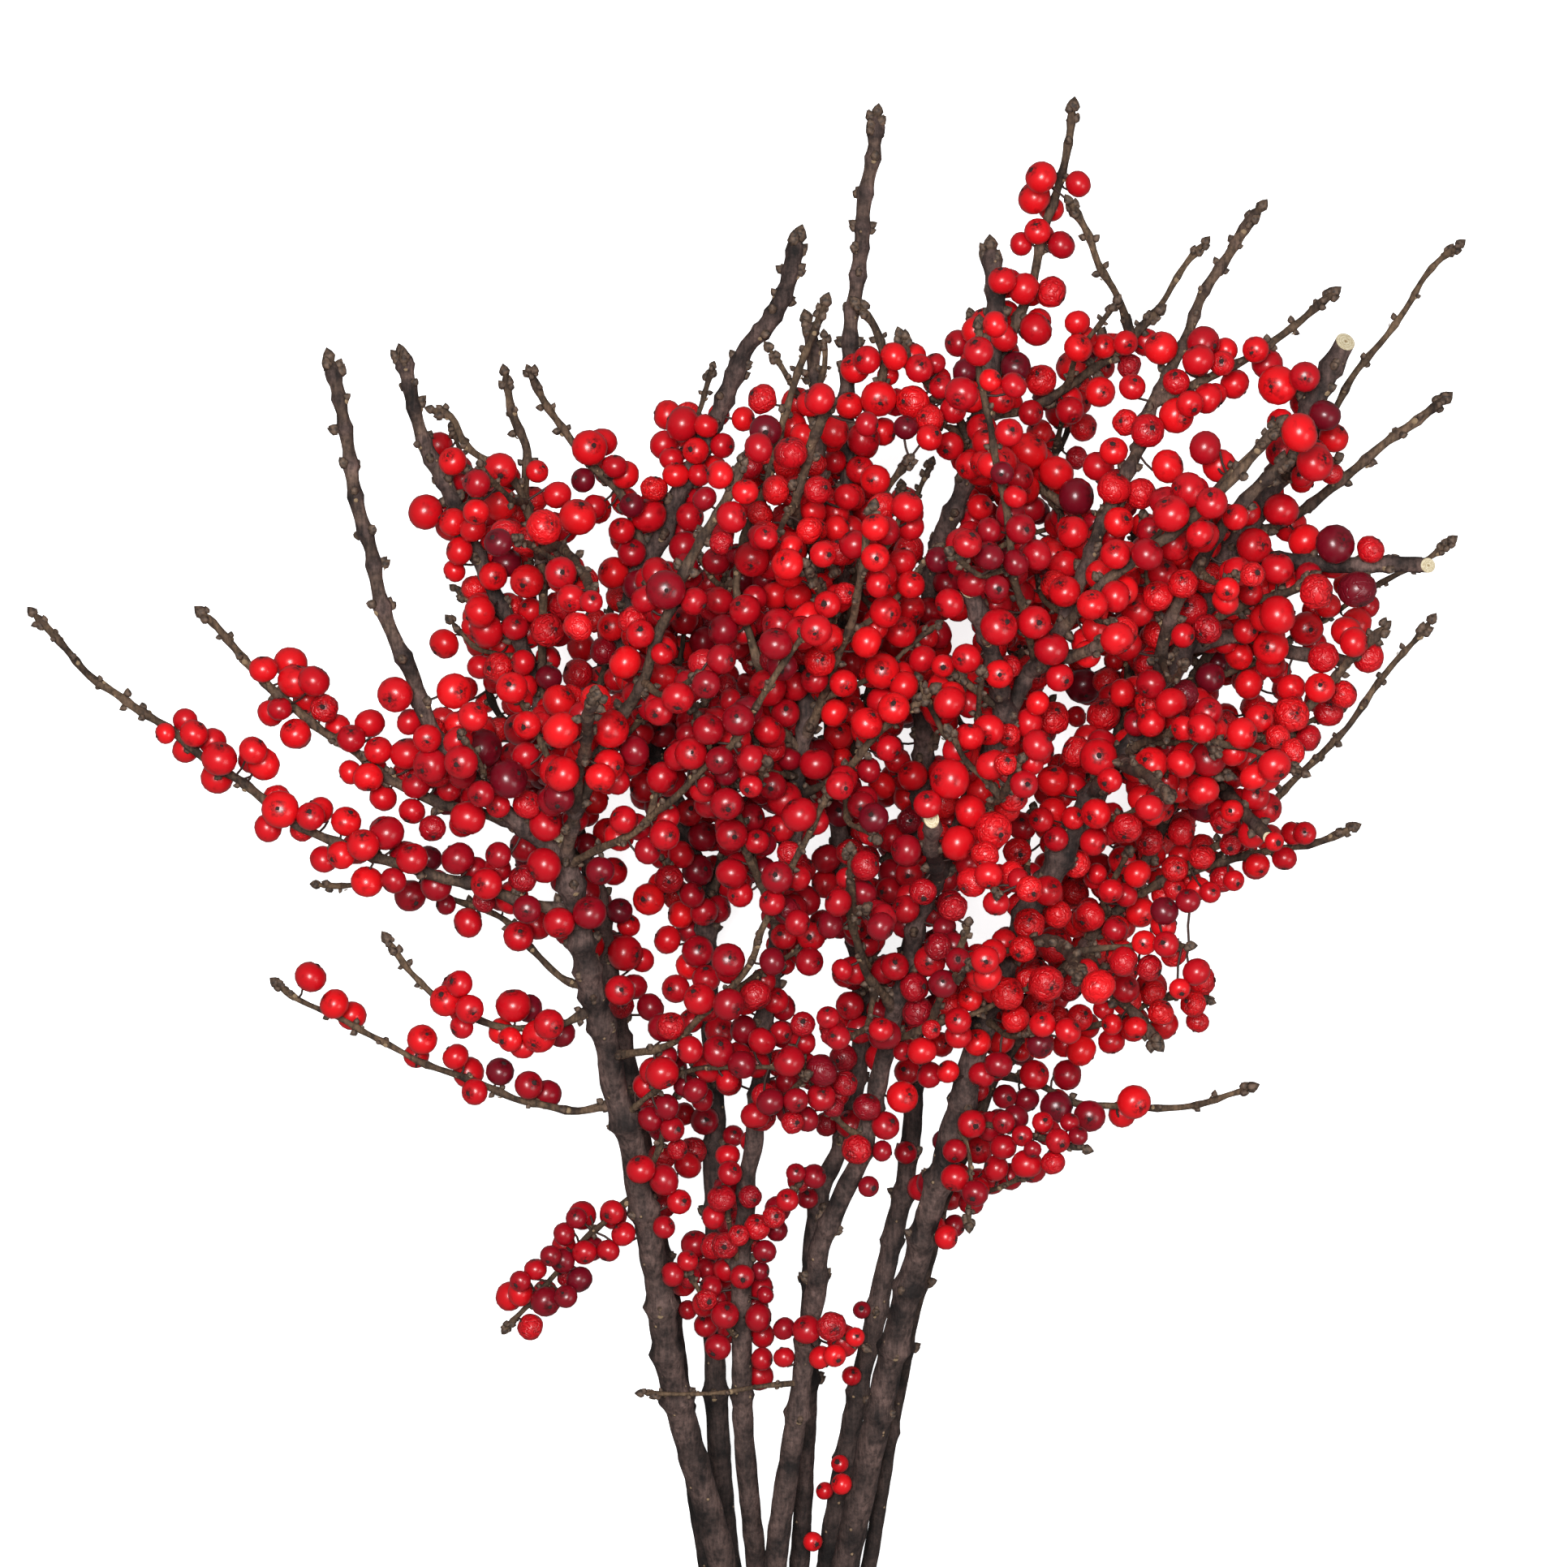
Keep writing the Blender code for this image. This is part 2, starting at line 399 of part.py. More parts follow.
def smooth(points, step):
    """A smooth curve through the points, cut into even steps."""
    around = [points[0] * 2 - points[1], *points, points[-1] * 2 - points[-2]]
    dense = []
    for before, start, stop, after in zip(around, around[1:], around[2:], around[3:]):
        cuts = max(2, round((stop - start).length))
        for i in range(cuts):
            t = i / cuts
            squared = (2 * before - 5 * start + 4 * stop - after) * t**2
            cubed = (3 * start - before - 3 * stop + after) * t**3
            dense.append((2 * start + (stop - before) * t + squared + cubed) * 0.5)
    dense.append(points[-1])
    lengths = [0.0]
    for start, stop in zip(dense, dense[1:]):
        lengths.append(lengths[-1] + (stop - start).length)
    count = max(2, round(lengths[-1] / step))
    even, at = [], 0
    for i in range(count + 1):
        wanted = lengths[-1] * i / count
        while at < len(dense) - 2 and lengths[at + 1] < wanted:
            at += 1
        share = (wanted - lengths[at]) / max(lengths[at + 1] - lengths[at], 1e-9)
        even.append(dense[at].lerp(dense[at + 1], min(1.0, share)))
    return even


def taper(thick, thin, count):
    return [(thick + (thin - thick) * i / (count - 1)) / 2 for i in range(count)]


def nearest(spine, point):
    return min(range(len(spine)), key=lambda i: (spine[i] - point).length)


def direction(spine, i):
    return (spine[min(i + 1, len(spine) - 1)] - spine[max(i - 1, 0)]).normalized()


def stray(point, start, stop):
    along = stop - start
    return (point - start).cross(along).length / along.length


def bends(spine, radii, first, last):
    """The places between first and last where a straight run would leave the spine, split at the worst one."""
    strays = [stray(spine[i], spine[first], spine[last]) / (radii[i] * STRAY + LEAST_STRAY)
              for i in range(first + 1, last)]
    if not strays or max(strays) < 1:
        return []
    worst = first + 1 + strays.index(max(strays))
    return bends(spine, radii, first, worst) + [worst] + bends(spine, radii, worst, last)


def nearest_on(runs, point):
    """The point on a chain of straight runs that lies nearest to the given one."""
    best = None
    for start, stop in zip(runs, runs[1:]):
        along = stop - start
        share = max(0.0, min(1.0, (point - start).dot(along) / along.length_squared))
        here = start + along * share
        if best is None or (here - point).length < (best - point).length:
            best = here
    return best


class Space:
    """Balls sorted into boxes, to ask quickly whether a new ball has room. It sees one box's side away."""

    def __init__(self, side=12.0):
        self.side = side
        self.boxes = {}

    def box(self, point):
        return tuple(math.floor(value / self.side) for value in point)

    def add(self, point, radius, owner):
        self.boxes.setdefault(self.box(point), []).append((point, radius, owner))

    def near(self, point):
        x, y, z = self.box(point)
        for i in (-1, 0, 1):
            for j in (-1, 0, 1):
                for k in (-1, 0, 1):
                    yield from self.boxes.get((x + i, y + j, z + k), ())

    def room(self, point, radius, gap, own=None, own_gap=-math.inf):
        return all((other - point).length >= radius + size + (own_gap if owner == own else gap)
                   for other, size, owner in self.near(point))


def twig_along(spine, thick, thin, berries, gap, cut, parent):
    """A twig on its spine. The straight runs of its solid start on those of the wood that carries it."""
    radii = taper(thick, thin, len(spine))
    last = len(spine) - 1
    runs = [spine[i] for i in (0, *bends(spine, radii, 0, last), last)]
    if parent:
        runs[0] = nearest_on(parent.runs, spine[0])
    return Twig(spine, radii, berries, gap, cut, runs)


def grow_wood():
    """The twigs of each branch: first every limb on its route, then the spurs that find room between them."""
    wood, space, carriers = {}, Space(), []
    for branch, parts in BRANCHES.items():
        grown = {}
        for part in parts:
            route = [wander(point) for point in smooth([place(seen) for seen in part.points], FINE_STEP)]
            parent = grown.get(part.on)
            if parent:
                shift = parent.spine[nearest(parent.spine, route[0])] - route[0]
                fade = min(JOINT_FADE, len(route))
                for i in range(fade):
                    route[i] = route[i] + shift * (1 - i / fade)
            twig = twig_along(route, part.thick, part.thin, part.berries, part.gap, part.cut, parent)
            grown[part.name] = twig
            carriers.append((branch, part, twig))
            for point, radius in zip(twig.spine, twig.radii):
                space.add(point, radius, (branch, part.name))
        wood[branch] = list(grown.values())
    draw = random.Random(SEED)
    for branch, part, carrier in carriers:
        last = len(carrier.spine) - 1
        for n in range(part.spurs):
            low, high = part.berries or BARE_SPURS
            at = low + (high - low) * (n + draw.uniform(0.2, 0.8)) / part.spurs
            for _ in range(TRIES):
                spur = spur_route(carrier.spine, round(at * last), draw)
                if all(LOWEST_WOOD < point.z < HIGHEST_WOOD for point in spur) and all(
                        space.room(point, SPUR_THICKNESS[0] / 2, SPUR_ROOM, own=(branch, part.name))
                        for point in spur[4:]):
                    twig = twig_along(spur, *SPUR_THICKNESS, SPUR_BERRIES, SPUR_GAP, False, carrier)
                    wood[branch].append(twig)
                    for point, radius in zip(twig.spine, twig.radii):
                        space.add(point, radius, (branch, f"{part.name} spur {n}"))
                    break
    return wood


def spur_route(route, i, draw):
    """A short shoot off the route at its point i, turned mostly up or down, that bends along the route."""
    along = direction(route, i)
    side = Vector((draw.uniform(-0.75, 0.75), draw.uniform(-0.3, 0.3), draw.choice((-1, 1))))
    side = (side - along * side.dot(along)).normalized()
    length = draw.uniform(*SPUR_LENGTHS)
    lean = SPUR_LEAN * draw.uniform(0.6, 1.3)
    points = [route[i], route[i] + (side + along * lean * 0.5) * length * 0.5,
              route[i] + (side * 0.9 + along * lean) * length]
    return [wander(point) - (wander(points[0]) - points[0]) for point in smooth(points, FINE_STEP)]


def grow_berries(wood):
    """Berries round each leaf scar, wherever the wood and the other berries leave room."""
    space = Space()
    for branch, twigs in wood.items():
        for number, twig in enumerate(twigs):
            for point, radius in zip(twig.spine, twig.radii):
                space.add(point, radius, (branch, number))
    berries = {branch: [] for branch in wood}
    draw = random.Random(SEED + 1)
    for branch, twigs in wood.items():
        for twig in twigs:
            if twig.spine[-1].z < RESTING_TIP:
                berry = resting_berry(twig)
                berries[branch].append(berry)
                space.add(berry.centre, berry.radius, "berry")
    for branch, twigs in wood.items():
        for number, twig in enumerate(twigs):
            if not twig.berries:
                continue
            last = len(twig.spine) - 1
            at = twig.berries[0] * last * FINE_STEP
            turn = draw.uniform(0, math.tau)
            while at < twig.berries[1] * last * FINE_STEP:
                i = min(last, round(at / FINE_STEP))
                for _ in range(draw.choice(BERRIES_AT_SCAR)):
                    berry = fit_berry(twig, i, turn, draw, space, (branch, number))
                    if berry:
                        berries[branch].append(berry)
                        space.add(berry.centre, berry.radius, "berry")
                turn += SCAR_TURN
                at += twig.gap * draw.uniform(0.75, 1.25)
    return berries


def resting_berry(twig):
    """The berry at the tip of a twig that lies on the table."""
    tip, ahead = twig.spine[-1], direction(twig.spine, len(twig.spine) - 1)
    level = Vector((ahead.x, ahead.y, 0)).normalized()
    centre = Vector((tip.x, tip.y, RESTING_RADIUS)) + level * RESTING_RADIUS * 0.8
    return Berry(centre, RESTING_RADIUS, twig)


def fit_berry(twig, i, turn, draw, space, owner):
    """One berry at point i of the twig, or none where eight tries find no room."""
    radius = max(BERRY_LIMITS[0], min(BERRY_LIMITS[1], draw.gauss(BERRY_RADIUS, BERRY_SPREAD)))
    along = direction(twig.spine, i)
    side = along.orthogonal().normalized()
    for attempt in range(TRIES):
        angle = turn + draw.uniform(-0.9, 0.9) * (1 + attempt * 0.35)
        outward = Matrix.Rotation(angle, 3, along) @ side
        lift = BERRY_LIFT[0] + (BERRY_LIFT[1] - BERRY_LIFT[0]) * draw.random() ** 2 * (attempt + 2) / 9
        centre = twig.spine[i] + outward * (twig.radii[i] + radius + lift) + along * draw.uniform(-0.5, 3.0)
        centre.z = max(centre.z, radius)
        if space.room(centre, radius, BERRY_GAP, own=owner, own_gap=-BERRY_PRESS):
            return Berry(centre, radius, twig)
    return None


def touches(berry):
    return berry.centre.z < berry.radius + 0.01


def choose(berries, wood):
    """The berries that the solids hold: evenly spread, each clear of every other branch, sunk into its twig."""
    taken, woods = Space(SOLID_BERRY_SPACING), Space(16.0)
    for branch, twigs in wood.items():
        for twig in twigs:
            for point, radius in zip(twig.spine, twig.radii):
                woods.add(point, radius, branch)
    chosen = {}
    for branch, grown in berries.items():
        chosen[branch] = []
        for berry in sorted(reversed(grown), key=touches, reverse=True):
            root = nearest_on(berry.twig.runs, berry.centre)
            wood_radius = berry.twig.radii[nearest(berry.twig.spine, root)]
            out = (berry.centre - root).normalized() * (berry.radius - wood_radius * SUNK)
            on_table = touches(berry)
            if on_table:
                reach, drop = berry.radius * FACE_REACH - 0.3, berry.radius * FACE_REACH - root.z
                if abs(drop) > reach:
                    continue
                level = Vector((out.x, out.y, 0)).normalized() * math.sqrt(reach**2 - drop**2)
                out = Vector((level.x, level.y, drop))
            centre = root + out
            clear = woods.room(centre, berry.radius, BRANCH_GAP, own=branch)
            if clear and taken.room(centre, 0, SOLID_BERRY_SPACING):
                taken.add(centre, 0, branch)
                chosen[branch].append((centre, berry.radius, root, on_table))
    return chosen


def material(name, colour, roughness):
    made = bpy.data.materials.new(name)
    made.use_nodes = True
    shader = made.node_tree.nodes["Principled BSDF"]
    shader.inputs["Base Color"].default_value = (*colour, 1)
    shader.inputs["Roughness"].default_value = roughness
    shader.inputs["Metallic"].default_value = 0.0
    return made


def finish(mesh, name, materials, paint):
    """A mesh object in metres with both materials in the same order, its faces all of one of them."""
    mesh.transform(Matrix.Scale(MM, 4))
    data = bpy.data.meshes.new(name)
    bmesh.ops.recalc_face_normals(mesh, faces=mesh.faces)
    mesh.to_mesh(data)
    mesh.free()
    for entry in materials:
        data.materials.append(entry)
    for face in data.polygons:
        face.material_index = paint
    return bpy.data.objects.new(name, data)


def tube(twig, corners, buds):
    """A closed tube along a twig's runs: flat at a cut end, and at a grown tip swollen by its buds."""
    runs = twig.runs
    last = len(runs) - 1
    places = []
    for i, centre in enumerate(runs):
        ahead = (runs[min(i + 1, last)] - runs[max(i - 1, 0)]).normalized()
        places.append((centre, twig.radii[nearest(twig.spine, centre)], ahead))
    if buds:
        tip, radius, ahead = places[-1]
        places[-1] = (tip - ahead * radius * 2, radius * 1.35, ahead)
        places.append((tip, radius * 0.5, ahead))
    mesh = bmesh.new()
    up = places[0][2].orthogonal().normalized()
    rings = []
    for centre, radius, ahead in places:
        up = (up - ahead * up.dot(ahead)).normalized()
        ring = []
        for k in range(corners):
            spoke = Matrix.Rotation(math.tau * k / corners, 3, ahead) @ up
            ring.append(mesh.verts.new(centre + spoke * radius))
        rings.append(ring)
    for lower, upper in zip(rings, rings[1:]):
        for k in range(corners):
            mesh.faces.new((lower[k], lower[(k + 1) % corners], upper[(k + 1) % corners], upper[k]))
    mesh.faces.new(list(reversed(rings[0])))
    mesh.faces.new(rings[-1])
    bmesh.ops.triangulate(mesh, faces=mesh.faces)
    return mesh


def ball(centre, radius, root, on_table):
    """A berry of twenty faces with a corner in the wood at its root, or flat on a face on the table."""
    mesh = bmesh.new()
    corners = bmesh.ops.create_icosphere(mesh, subdivisions=1, radius=radius)["verts"]
    if on_table:
        lowest = min(mesh.faces, key=lambda face: face.calc_center_median().z)
        turn = lowest.calc_center_median().rotation_difference(Vector((0, 0, -1)))
    else:
        turn = corners[0].co.rotation_difference(root - centre)
    bmesh.ops.transform(mesh, matrix=turn.to_matrix().to_4x4(), verts=mesh.verts)
    bmesh.ops.translate(mesh, vec=centre, verts=mesh.verts)
    return mesh


def sides(thickness):
    if thickness >= STEM_THICKNESS:
        return 8
    return 4 if thickness >= TWIG_THICKNESS else 3


def build(branch, twigs, chosen, materials):
    """One branch: its stem, joined by one union with all that grows on it."""
    extras = bpy.data.collections.new(branch + "_extras")
    bpy.context.scene.collection.children.link(extras)
    stem = None
    for twig in twigs:
        thickness = twig.radii[0] * 2
        mesh = tube(twig, sides(thickness), buds=thickness > SPUR_THICKNESS[0] and not twig.cut)
        wood = finish(mesh, branch, materials, 0)
        if stem is None:
            stem = wood
            bpy.context.scene.collection.objects.link(stem)
        else:
            extras.objects.link(wood)
    for berry in chosen:
        extras.objects.link(finish(ball(*berry), branch + "_berry", materials, 1))
    union = stem.modifiers.new("union", "BOOLEAN")
    union.operation = "UNION"
    union.operand_type = "COLLECTION"
    union.collection = extras
    bpy.context.view_layer.update()
    joined = bpy.data.meshes.new_from_object(stem.evaluated_get(bpy.context.evaluated_depsgraph_get()))
    stem.modifiers.clear()
    stem.data = joined
    for extra in list(extras.objects):
        bpy.data.objects.remove(extra)
    bpy.data.collections.remove(extras)


for old in list(bpy.data.objects):
    bpy.data.objects.remove(old)

BARK = material("winter bark", (0.052, 0.040, 0.029), 0.85)
BERRY_SKIN = material("berry skin", (0.55, 0.012, 0.014), 0.32)

all_wood = grow_wood()
all_berries = grow_berries(all_wood)
held = choose(all_berries, all_wood)
for branch_name, branch_twigs in all_wood.items():
    build(branch_name, branch_twigs, held[branch_name], (BARK, BERRY_SKIN))
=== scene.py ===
import math
import random
from collections import namedtuple

import bmesh
import bpy
import numpy as np
from mathutils import Matrix, Vector, noise


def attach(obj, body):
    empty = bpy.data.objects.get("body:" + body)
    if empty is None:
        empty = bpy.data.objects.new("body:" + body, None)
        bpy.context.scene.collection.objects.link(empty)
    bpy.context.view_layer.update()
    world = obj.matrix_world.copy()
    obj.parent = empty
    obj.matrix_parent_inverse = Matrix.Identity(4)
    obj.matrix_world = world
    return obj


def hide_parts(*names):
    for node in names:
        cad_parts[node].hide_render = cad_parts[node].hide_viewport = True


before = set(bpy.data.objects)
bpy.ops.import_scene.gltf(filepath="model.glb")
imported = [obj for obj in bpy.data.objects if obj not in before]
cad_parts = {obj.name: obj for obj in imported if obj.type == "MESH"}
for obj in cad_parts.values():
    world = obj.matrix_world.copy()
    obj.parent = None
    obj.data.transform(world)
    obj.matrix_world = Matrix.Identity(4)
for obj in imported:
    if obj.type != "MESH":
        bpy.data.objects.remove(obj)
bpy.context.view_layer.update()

# How the bunch lies
# Nine stems of winterberry, cut in winter and gathered at their cut ends, lie on a table with the tips
# fanned out. Each stem and twig is grown wood: it follows its own route and is never quite straight.

# Sizes here are millimetres. Routes are written as an eye high above the table sees them, drawn on a level
# plane through the middle of the bunch, with each point's own height above the table beside it.
MM = 0.001
EYE_HEIGHT = 1200.0
MIDDLE_HEIGHT = 100.0
SEEN_CENTRE = Vector((0.0, 231.7))
ORIGIN = Vector((-9.46, 152.26))

# How far a route wanders and from what distance up the stem, three unlike places in the noise for its three
# directions, the step it is cut into, and the points over which a twig's route is drawn to its joint.
WANDER = 1.6
WANDER_LENGTH = 17.0
WANDER_FROM = 30.0
WANDER_GROWS = 60.0
WANDER_SHIFTS = (0.0, 31.7, 71.3)
FINE_STEP = 2.0
JOINT_FADE = 12

# Spurs: short side shoots that fill the crown's depth.
SPUR_LENGTHS = (24.0, 42.0)
SPUR_THICKNESS = (2.3, 1.7)
SPUR_LEAN = 0.6
SPUR_ROOM = 3.0
SPUR_BERRIES = (0.1, 0.93)
SPUR_GAP = 6.5
BARE_SPURS = (0.5, 0.9)
LOWEST_WOOD = 9.0
HIGHEST_WOOD = 212.0
TRIES = 8
SEED = 11

Limb = namedtuple("Limb", "name on thick thin points berries gap spurs cut")
Twig = namedtuple("Twig", "name spine radii berries gap cut grown_on")


def limb(name, on, thick, thin, points, berries=(0.12, 0.86), gap=7.5, spurs=0, cut=False):
    """One stem or twig: its thickness at both ends, its route, and the part of it that bears berries."""
    return Limb(name, on, thick, thin, points, berries, gap, spurs, cut)


BRANCHES = {
    "branch_left": [
        limb("stem", None, 10.0, 7.0,
             [(-10.3, -100, 13.6), (-11.1, -72, 20.3), (-11.9, -45, 26.3), (-18, 0, 46), (-31.5, 50, 64),
              (-40, 100, 84), (-52, 150, 105), (-61, 190, 122), (-64.5, 211, 129)], berries=None, cut=True),
        limb("leader", "stem", 6.2, 4.2,
             [(-64, 208, 128), (-80, 222, 137), (-99, 240, 146), (-107, 257, 152), (-115, 276, 156),
              (-123, 300, 158), (-129.5, 330, 160), (-134, 357, 160)], berries=(0.08, 0.36), gap=9, spurs=1),
        limb("low twig", "stem", 2.4, 1.7,
             [(-43, 110, 87), (-57, 98.5, 82), (-66, 88, 78), (-76, 78, 72), (-82, 70, 68)], gap=8),
        limb("first side", "stem", 2.8, 2.0,
             [(-49, 137, 100), (-66, 135.5, 98), (-88, 141.5, 94), (-105, 148.5, 90), (-131, 162, 84),
              (-150, 172, 80)],
             gap=19),
        limb("second side", "stem", 2.8, 2.0,
             [(-56, 165, 110), (-68, 160, 114), (-84, 159, 118), (-96, 164.5, 120), (-110, 174.5, 124),
              (-117.5, 185.5, 126)], berries=(0.15, 0.7), gap=9),
        limb("third side", "stem", 2.6, 1.9,
             [(-57, 170, 112), (-66, 175, 106), (-84, 191, 100), (-105, 201, 94), (-119, 202.5, 90),
              (-138, 202, 84)],
             berries=(0.12, 0.45), gap=13),
        limb("long side", "stem", 4.2, 2.4,
             [(-62, 193, 124), (-75, 196, 126), (-95, 202, 128), (-118, 208.5, 128), (-141, 218.5, 126),
              (-160, 231.5, 124), (-182, 247, 122), (-208, 266.5, 120), (-222, 282, 118)],
             berries=(0.1, 0.72), gap=8.5),
        limb("upper side", "leader", 4.0, 2.6,
             [(-80, 219, 133), (-105, 227, 124), (-130, 243, 117), (-152, 260, 112), (-172, 281, 108)],
             berries=(0.15, 0.78), gap=9),
        limb("upright", "stem", 4.6, 3.6,
             [(-63, 208, 129), (-62, 225, 150), (-59, 243, 178), (-56, 258, 203)], spurs=1),
        limb("front leader", "upright", 4.4, 3.2,
             [(-62, 222, 146), (-53, 242, 160), (-41, 264, 172), (-35, 281, 178), (-29, 295, 182),
              (-18, 315, 188), (-13, 327, 191)], berries=(0.1, 0.62), spurs=2),
        limb("olive twig", "stem", 2.8, 2.0,
             [(-62, 207, 128), (-48, 216, 148), (-36.5, 223, 160), (-13, 247.5, 182), (0, 267, 194),
              (8, 279, 200)],
             berries=(0.1, 0.8), gap=9, spurs=1),
        limb("low olive twig", "stem", 2.8, 2.0,
             [(-50, 150, 105), (-33, 155, 122), (-13, 175.5, 145), (-4, 193.5, 160), (8, 220, 176),
              (14.6, 231, 182)],
             gap=9, spurs=1),
        limb("thin front twig", "stem", 2.2, 1.6,
             [(-46, 133, 97), (-38, 140, 108), (-28, 147, 118), (-12, 148, 124), (2, 147, 127)], gap=12),
        limb("inner twig", "stem", 2.4, 1.8,
             [(-43, 112, 88), (-38, 124, 94), (-33, 136, 98), (-26, 149, 104)], berries=(0.05, 0.9), gap=6),
    ],
    "branch_left_back": [
        limb("stem", None, 7.2, 3.8,
             [(-14.2, -100, 3.7), (-15.8, -72, 11), (-17.4, -45, 18.4), (-22.5, 0, 34), (-30, 50, 41),
              (-37, 100, 50), (-46, 150, 57), (-56, 200, 66), (-63, 225, 72), (-69, 243, 78), (-75, 265, 84),
              (-85.5, 289, 90), (-99.5, 318, 94), (-108, 335, 96), (-113, 358, 97)], berries=(0.58, 0.93),
              gap=8, spurs=5, cut=True),
        limb("second top", "stem", 3.4, 2.4,
             [(-70, 247, 79), (-71, 262, 86), (-72, 285, 100), (-74, 305, 110), (-80, 322, 116),
              (-94, 331.5, 118), (-98, 339, 119), (-104, 342, 120)], berries=(0.12, 0.72), spurs=2),
        limb("third top", "second top", 3.6, 2.8,
             [(-72.5, 296, 106), (-76, 316, 103), (-77, 330, 101), (-80, 340, 100), (-83, 353, 99)],
             berries=(0.1, 0.5), spurs=1),
        limb("bud twig", "stem", 2.6, 2.2, [(-97, 312, 94), (-90, 318, 99), (-94, 324, 102)], berries=None),
        limb("thin left tip", "stem", 2.0, 1.6,
             [(-77, 269, 85), (-86, 271, 80), (-92, 273, 76), (-99, 280, 74)],
             gap=9),
        limb("front spur", "second top", 3.4, 2.8,
             [(-73, 300, 108), (-65, 301, 134), (-59, 293, 164), (-56, 287, 186)], berries=(0.1, 0.8),
              spurs=1),
        limb("outer low", "stem", 4.0, 2.4,
             [(-58, 208, 68), (-66, 228, 50), (-80, 246, 20), (-86, 258, 7.5),
              (-90, 272, 6)], berries=(0.12, 0.97), spurs=1),
        limb("inner low", "stem", 3.2, 2.2,
             [(-63, 225, 72), (-58, 248, 56), (-52, 270, 42), (-50, 292, 30)], spurs=2),
    ],
    "branch_middle_back": [
        limb("stem", None, 8.0, 4.6,
             [(-6.9, -100, 4.1), (-7.8, -72, 9.9), (-8.7, -45, 15.8), (-16, 0, 25), (-20, 50, 33.5),
              (-20.5, 100, 38), (-22, 150, 42), (-23, 192, 45), (-30, 220, 52), (-41, 248, 62),
              (-47, 270, 70), (-45, 287, 76), (-37, 303, 82), (-26.6, 327, 88), (-16, 350, 93),
              (-11.5, 361, 95), (-4, 369, 97), (2.4, 384, 98), (4.6, 393, 98)],
             berries=(0.56, 0.88), gap=8, spurs=5, cut=True),
        limb("left top", "stem", 3.8, 2.4,
             [(-40, 298, 80), (-48, 315, 84), (-57, 326, 86), (-68, 340, 88), (-75, 354, 90)],
             berries=(0.05, 0.5), gap=8),
        limb("low shoot", "stem", 4.0, 2.4,
             [(-23, 185, 45), (-18, 215, 34), (-12, 245, 22), (-9, 268, 8), (-10, 284, 6)],
             berries=(0.15, 0.97), spurs=2),
        limb("second low", "stem", 3.2, 2.2,
             [(-33, 228, 55), (-34, 255, 38), (-32, 280, 26), (-30, 305, 22)], spurs=2),
        limb("inner", "stem", 3.6, 2.4,
             [(-23, 195, 46), (-12, 222, 58), (-6, 250, 70), (-10, 278, 82), (-16, 300, 88)], spurs=3),
    ],
    "branch_middle_left": [
        limb("stem", None, 7.4, 3.6,
             [(-2.2, -100, 11), (-2.1, -72, 18), (-2, -45, 24.6), (-8, 0, 44), (-12.5, 50, 62),
              (-12, 100, 80), (-6.5, 150, 101), (-2, 184, 117), (2, 215, 128), (6, 245, 134), (8.5, 275, 136),
              (9, 300, 134), (11, 325, 128), (10, 350, 122), (6.5, 369, 118)], berries=(0.32, 0.92),
              gap=9, spurs=4, cut=True),
        limb("brown twig", "stem", 3.0, 2.4,
             [(5, 240, 133), (-6, 262, 142), (-13, 285, 146), (-12, 305, 144), (-8, 316, 142),
              (-2.5, 330, 140), (0.5, 342, 138), (6, 358, 136), (12.5, 374, 134)], berries=(0.1, 0.66),
              spurs=3),
        limb("thin top", "stem", 2.2, 1.8, [(9.5, 330, 127), (7, 340, 126), (2, 351, 124), (-4.6, 360, 122)],
             berries=(0.05, 0.5), gap=6),
        limb("bud twig", "stem", 2.0, 1.7,
             [(10.3, 348, 123), (12.8, 355, 126), (12.4, 364, 128)], berries=None),
        limb("dark front twig", "stem", 3.6, 3.2,
             [(9, 298, 134), (4, 308, 150), (4, 318, 160), (8, 331, 168),
              (13, 345, 175)], berries=(0.05, 0.66), spurs=2),
        limb("end-on twig", "stem", 3.2, 2.8,
             [(8, 266, 136), (13.5, 272, 150), (13, 283, 165), (9, 291, 176), (6, 297, 184)], spurs=1),
        limb("low front", "stem", 3.4, 2.2,
             [(-1, 190, 119), (-8, 205, 136), (-14, 222, 150), (-20, 236, 160), (-27, 254, 164)],
             berries=(0.1, 0.92), spurs=2),
        limb("mid front", "stem", 3.4, 2.2,
             [(6, 245, 134), (14, 262, 152), (20, 279, 170), (24, 296, 184), (26, 313, 192)],
             berries=(0.1, 0.92), spurs=3),
        limb("dark side twig", "stem", 3.0, 2.4,
             [(4, 228, 131), (19, 237, 152), (30.5, 249, 164), (44, 259, 172)], berries=(0.1, 0.7), spurs=1),
        limb("low spur", "stem", 2.0, 1.6, [(-12, 88, 76), (-15, 96, 84), (-17, 106, 90), (-16, 116, 92)],
             berries=(0.0, 0.95), gap=7),
        limb("lower spur", "stem", 2.0, 1.6, [(-13, 66, 68), (-18, 72, 76), (-23, 79, 80), (-29, 89, 84)],
             berries=(0.0, 0.95), gap=7),
        limb("right spur", "stem", 2.0, 1.6, [(-11, 93, 78), (-5, 100, 84), (2, 108, 92), (6, 116, 96)],
             berries=(0.05, 0.95), gap=7),
    ],
    "branch_middle": [
        limb("stem", None, 8.2, 2.7,
             [(-0.5, -100, 19.9), (-1.9, -72, 27.8), (-3.2, -45, 35), (-2.5, 0, 54), (4.5, 50, 69),
              (8.5, 80, 80), (12.5, 100, 88), (22.5, 120, 97), (29, 150, 110), (37, 180, 126), (40, 192, 132),
              (50, 215, 142), (60, 240, 148), (70, 260, 152), (80, 275, 154), (88, 292, 152), (95, 311, 146),
              (101, 323, 142), (106, 335, 138), (110, 346, 134), (117.4, 362, 130), (125, 379, 126),
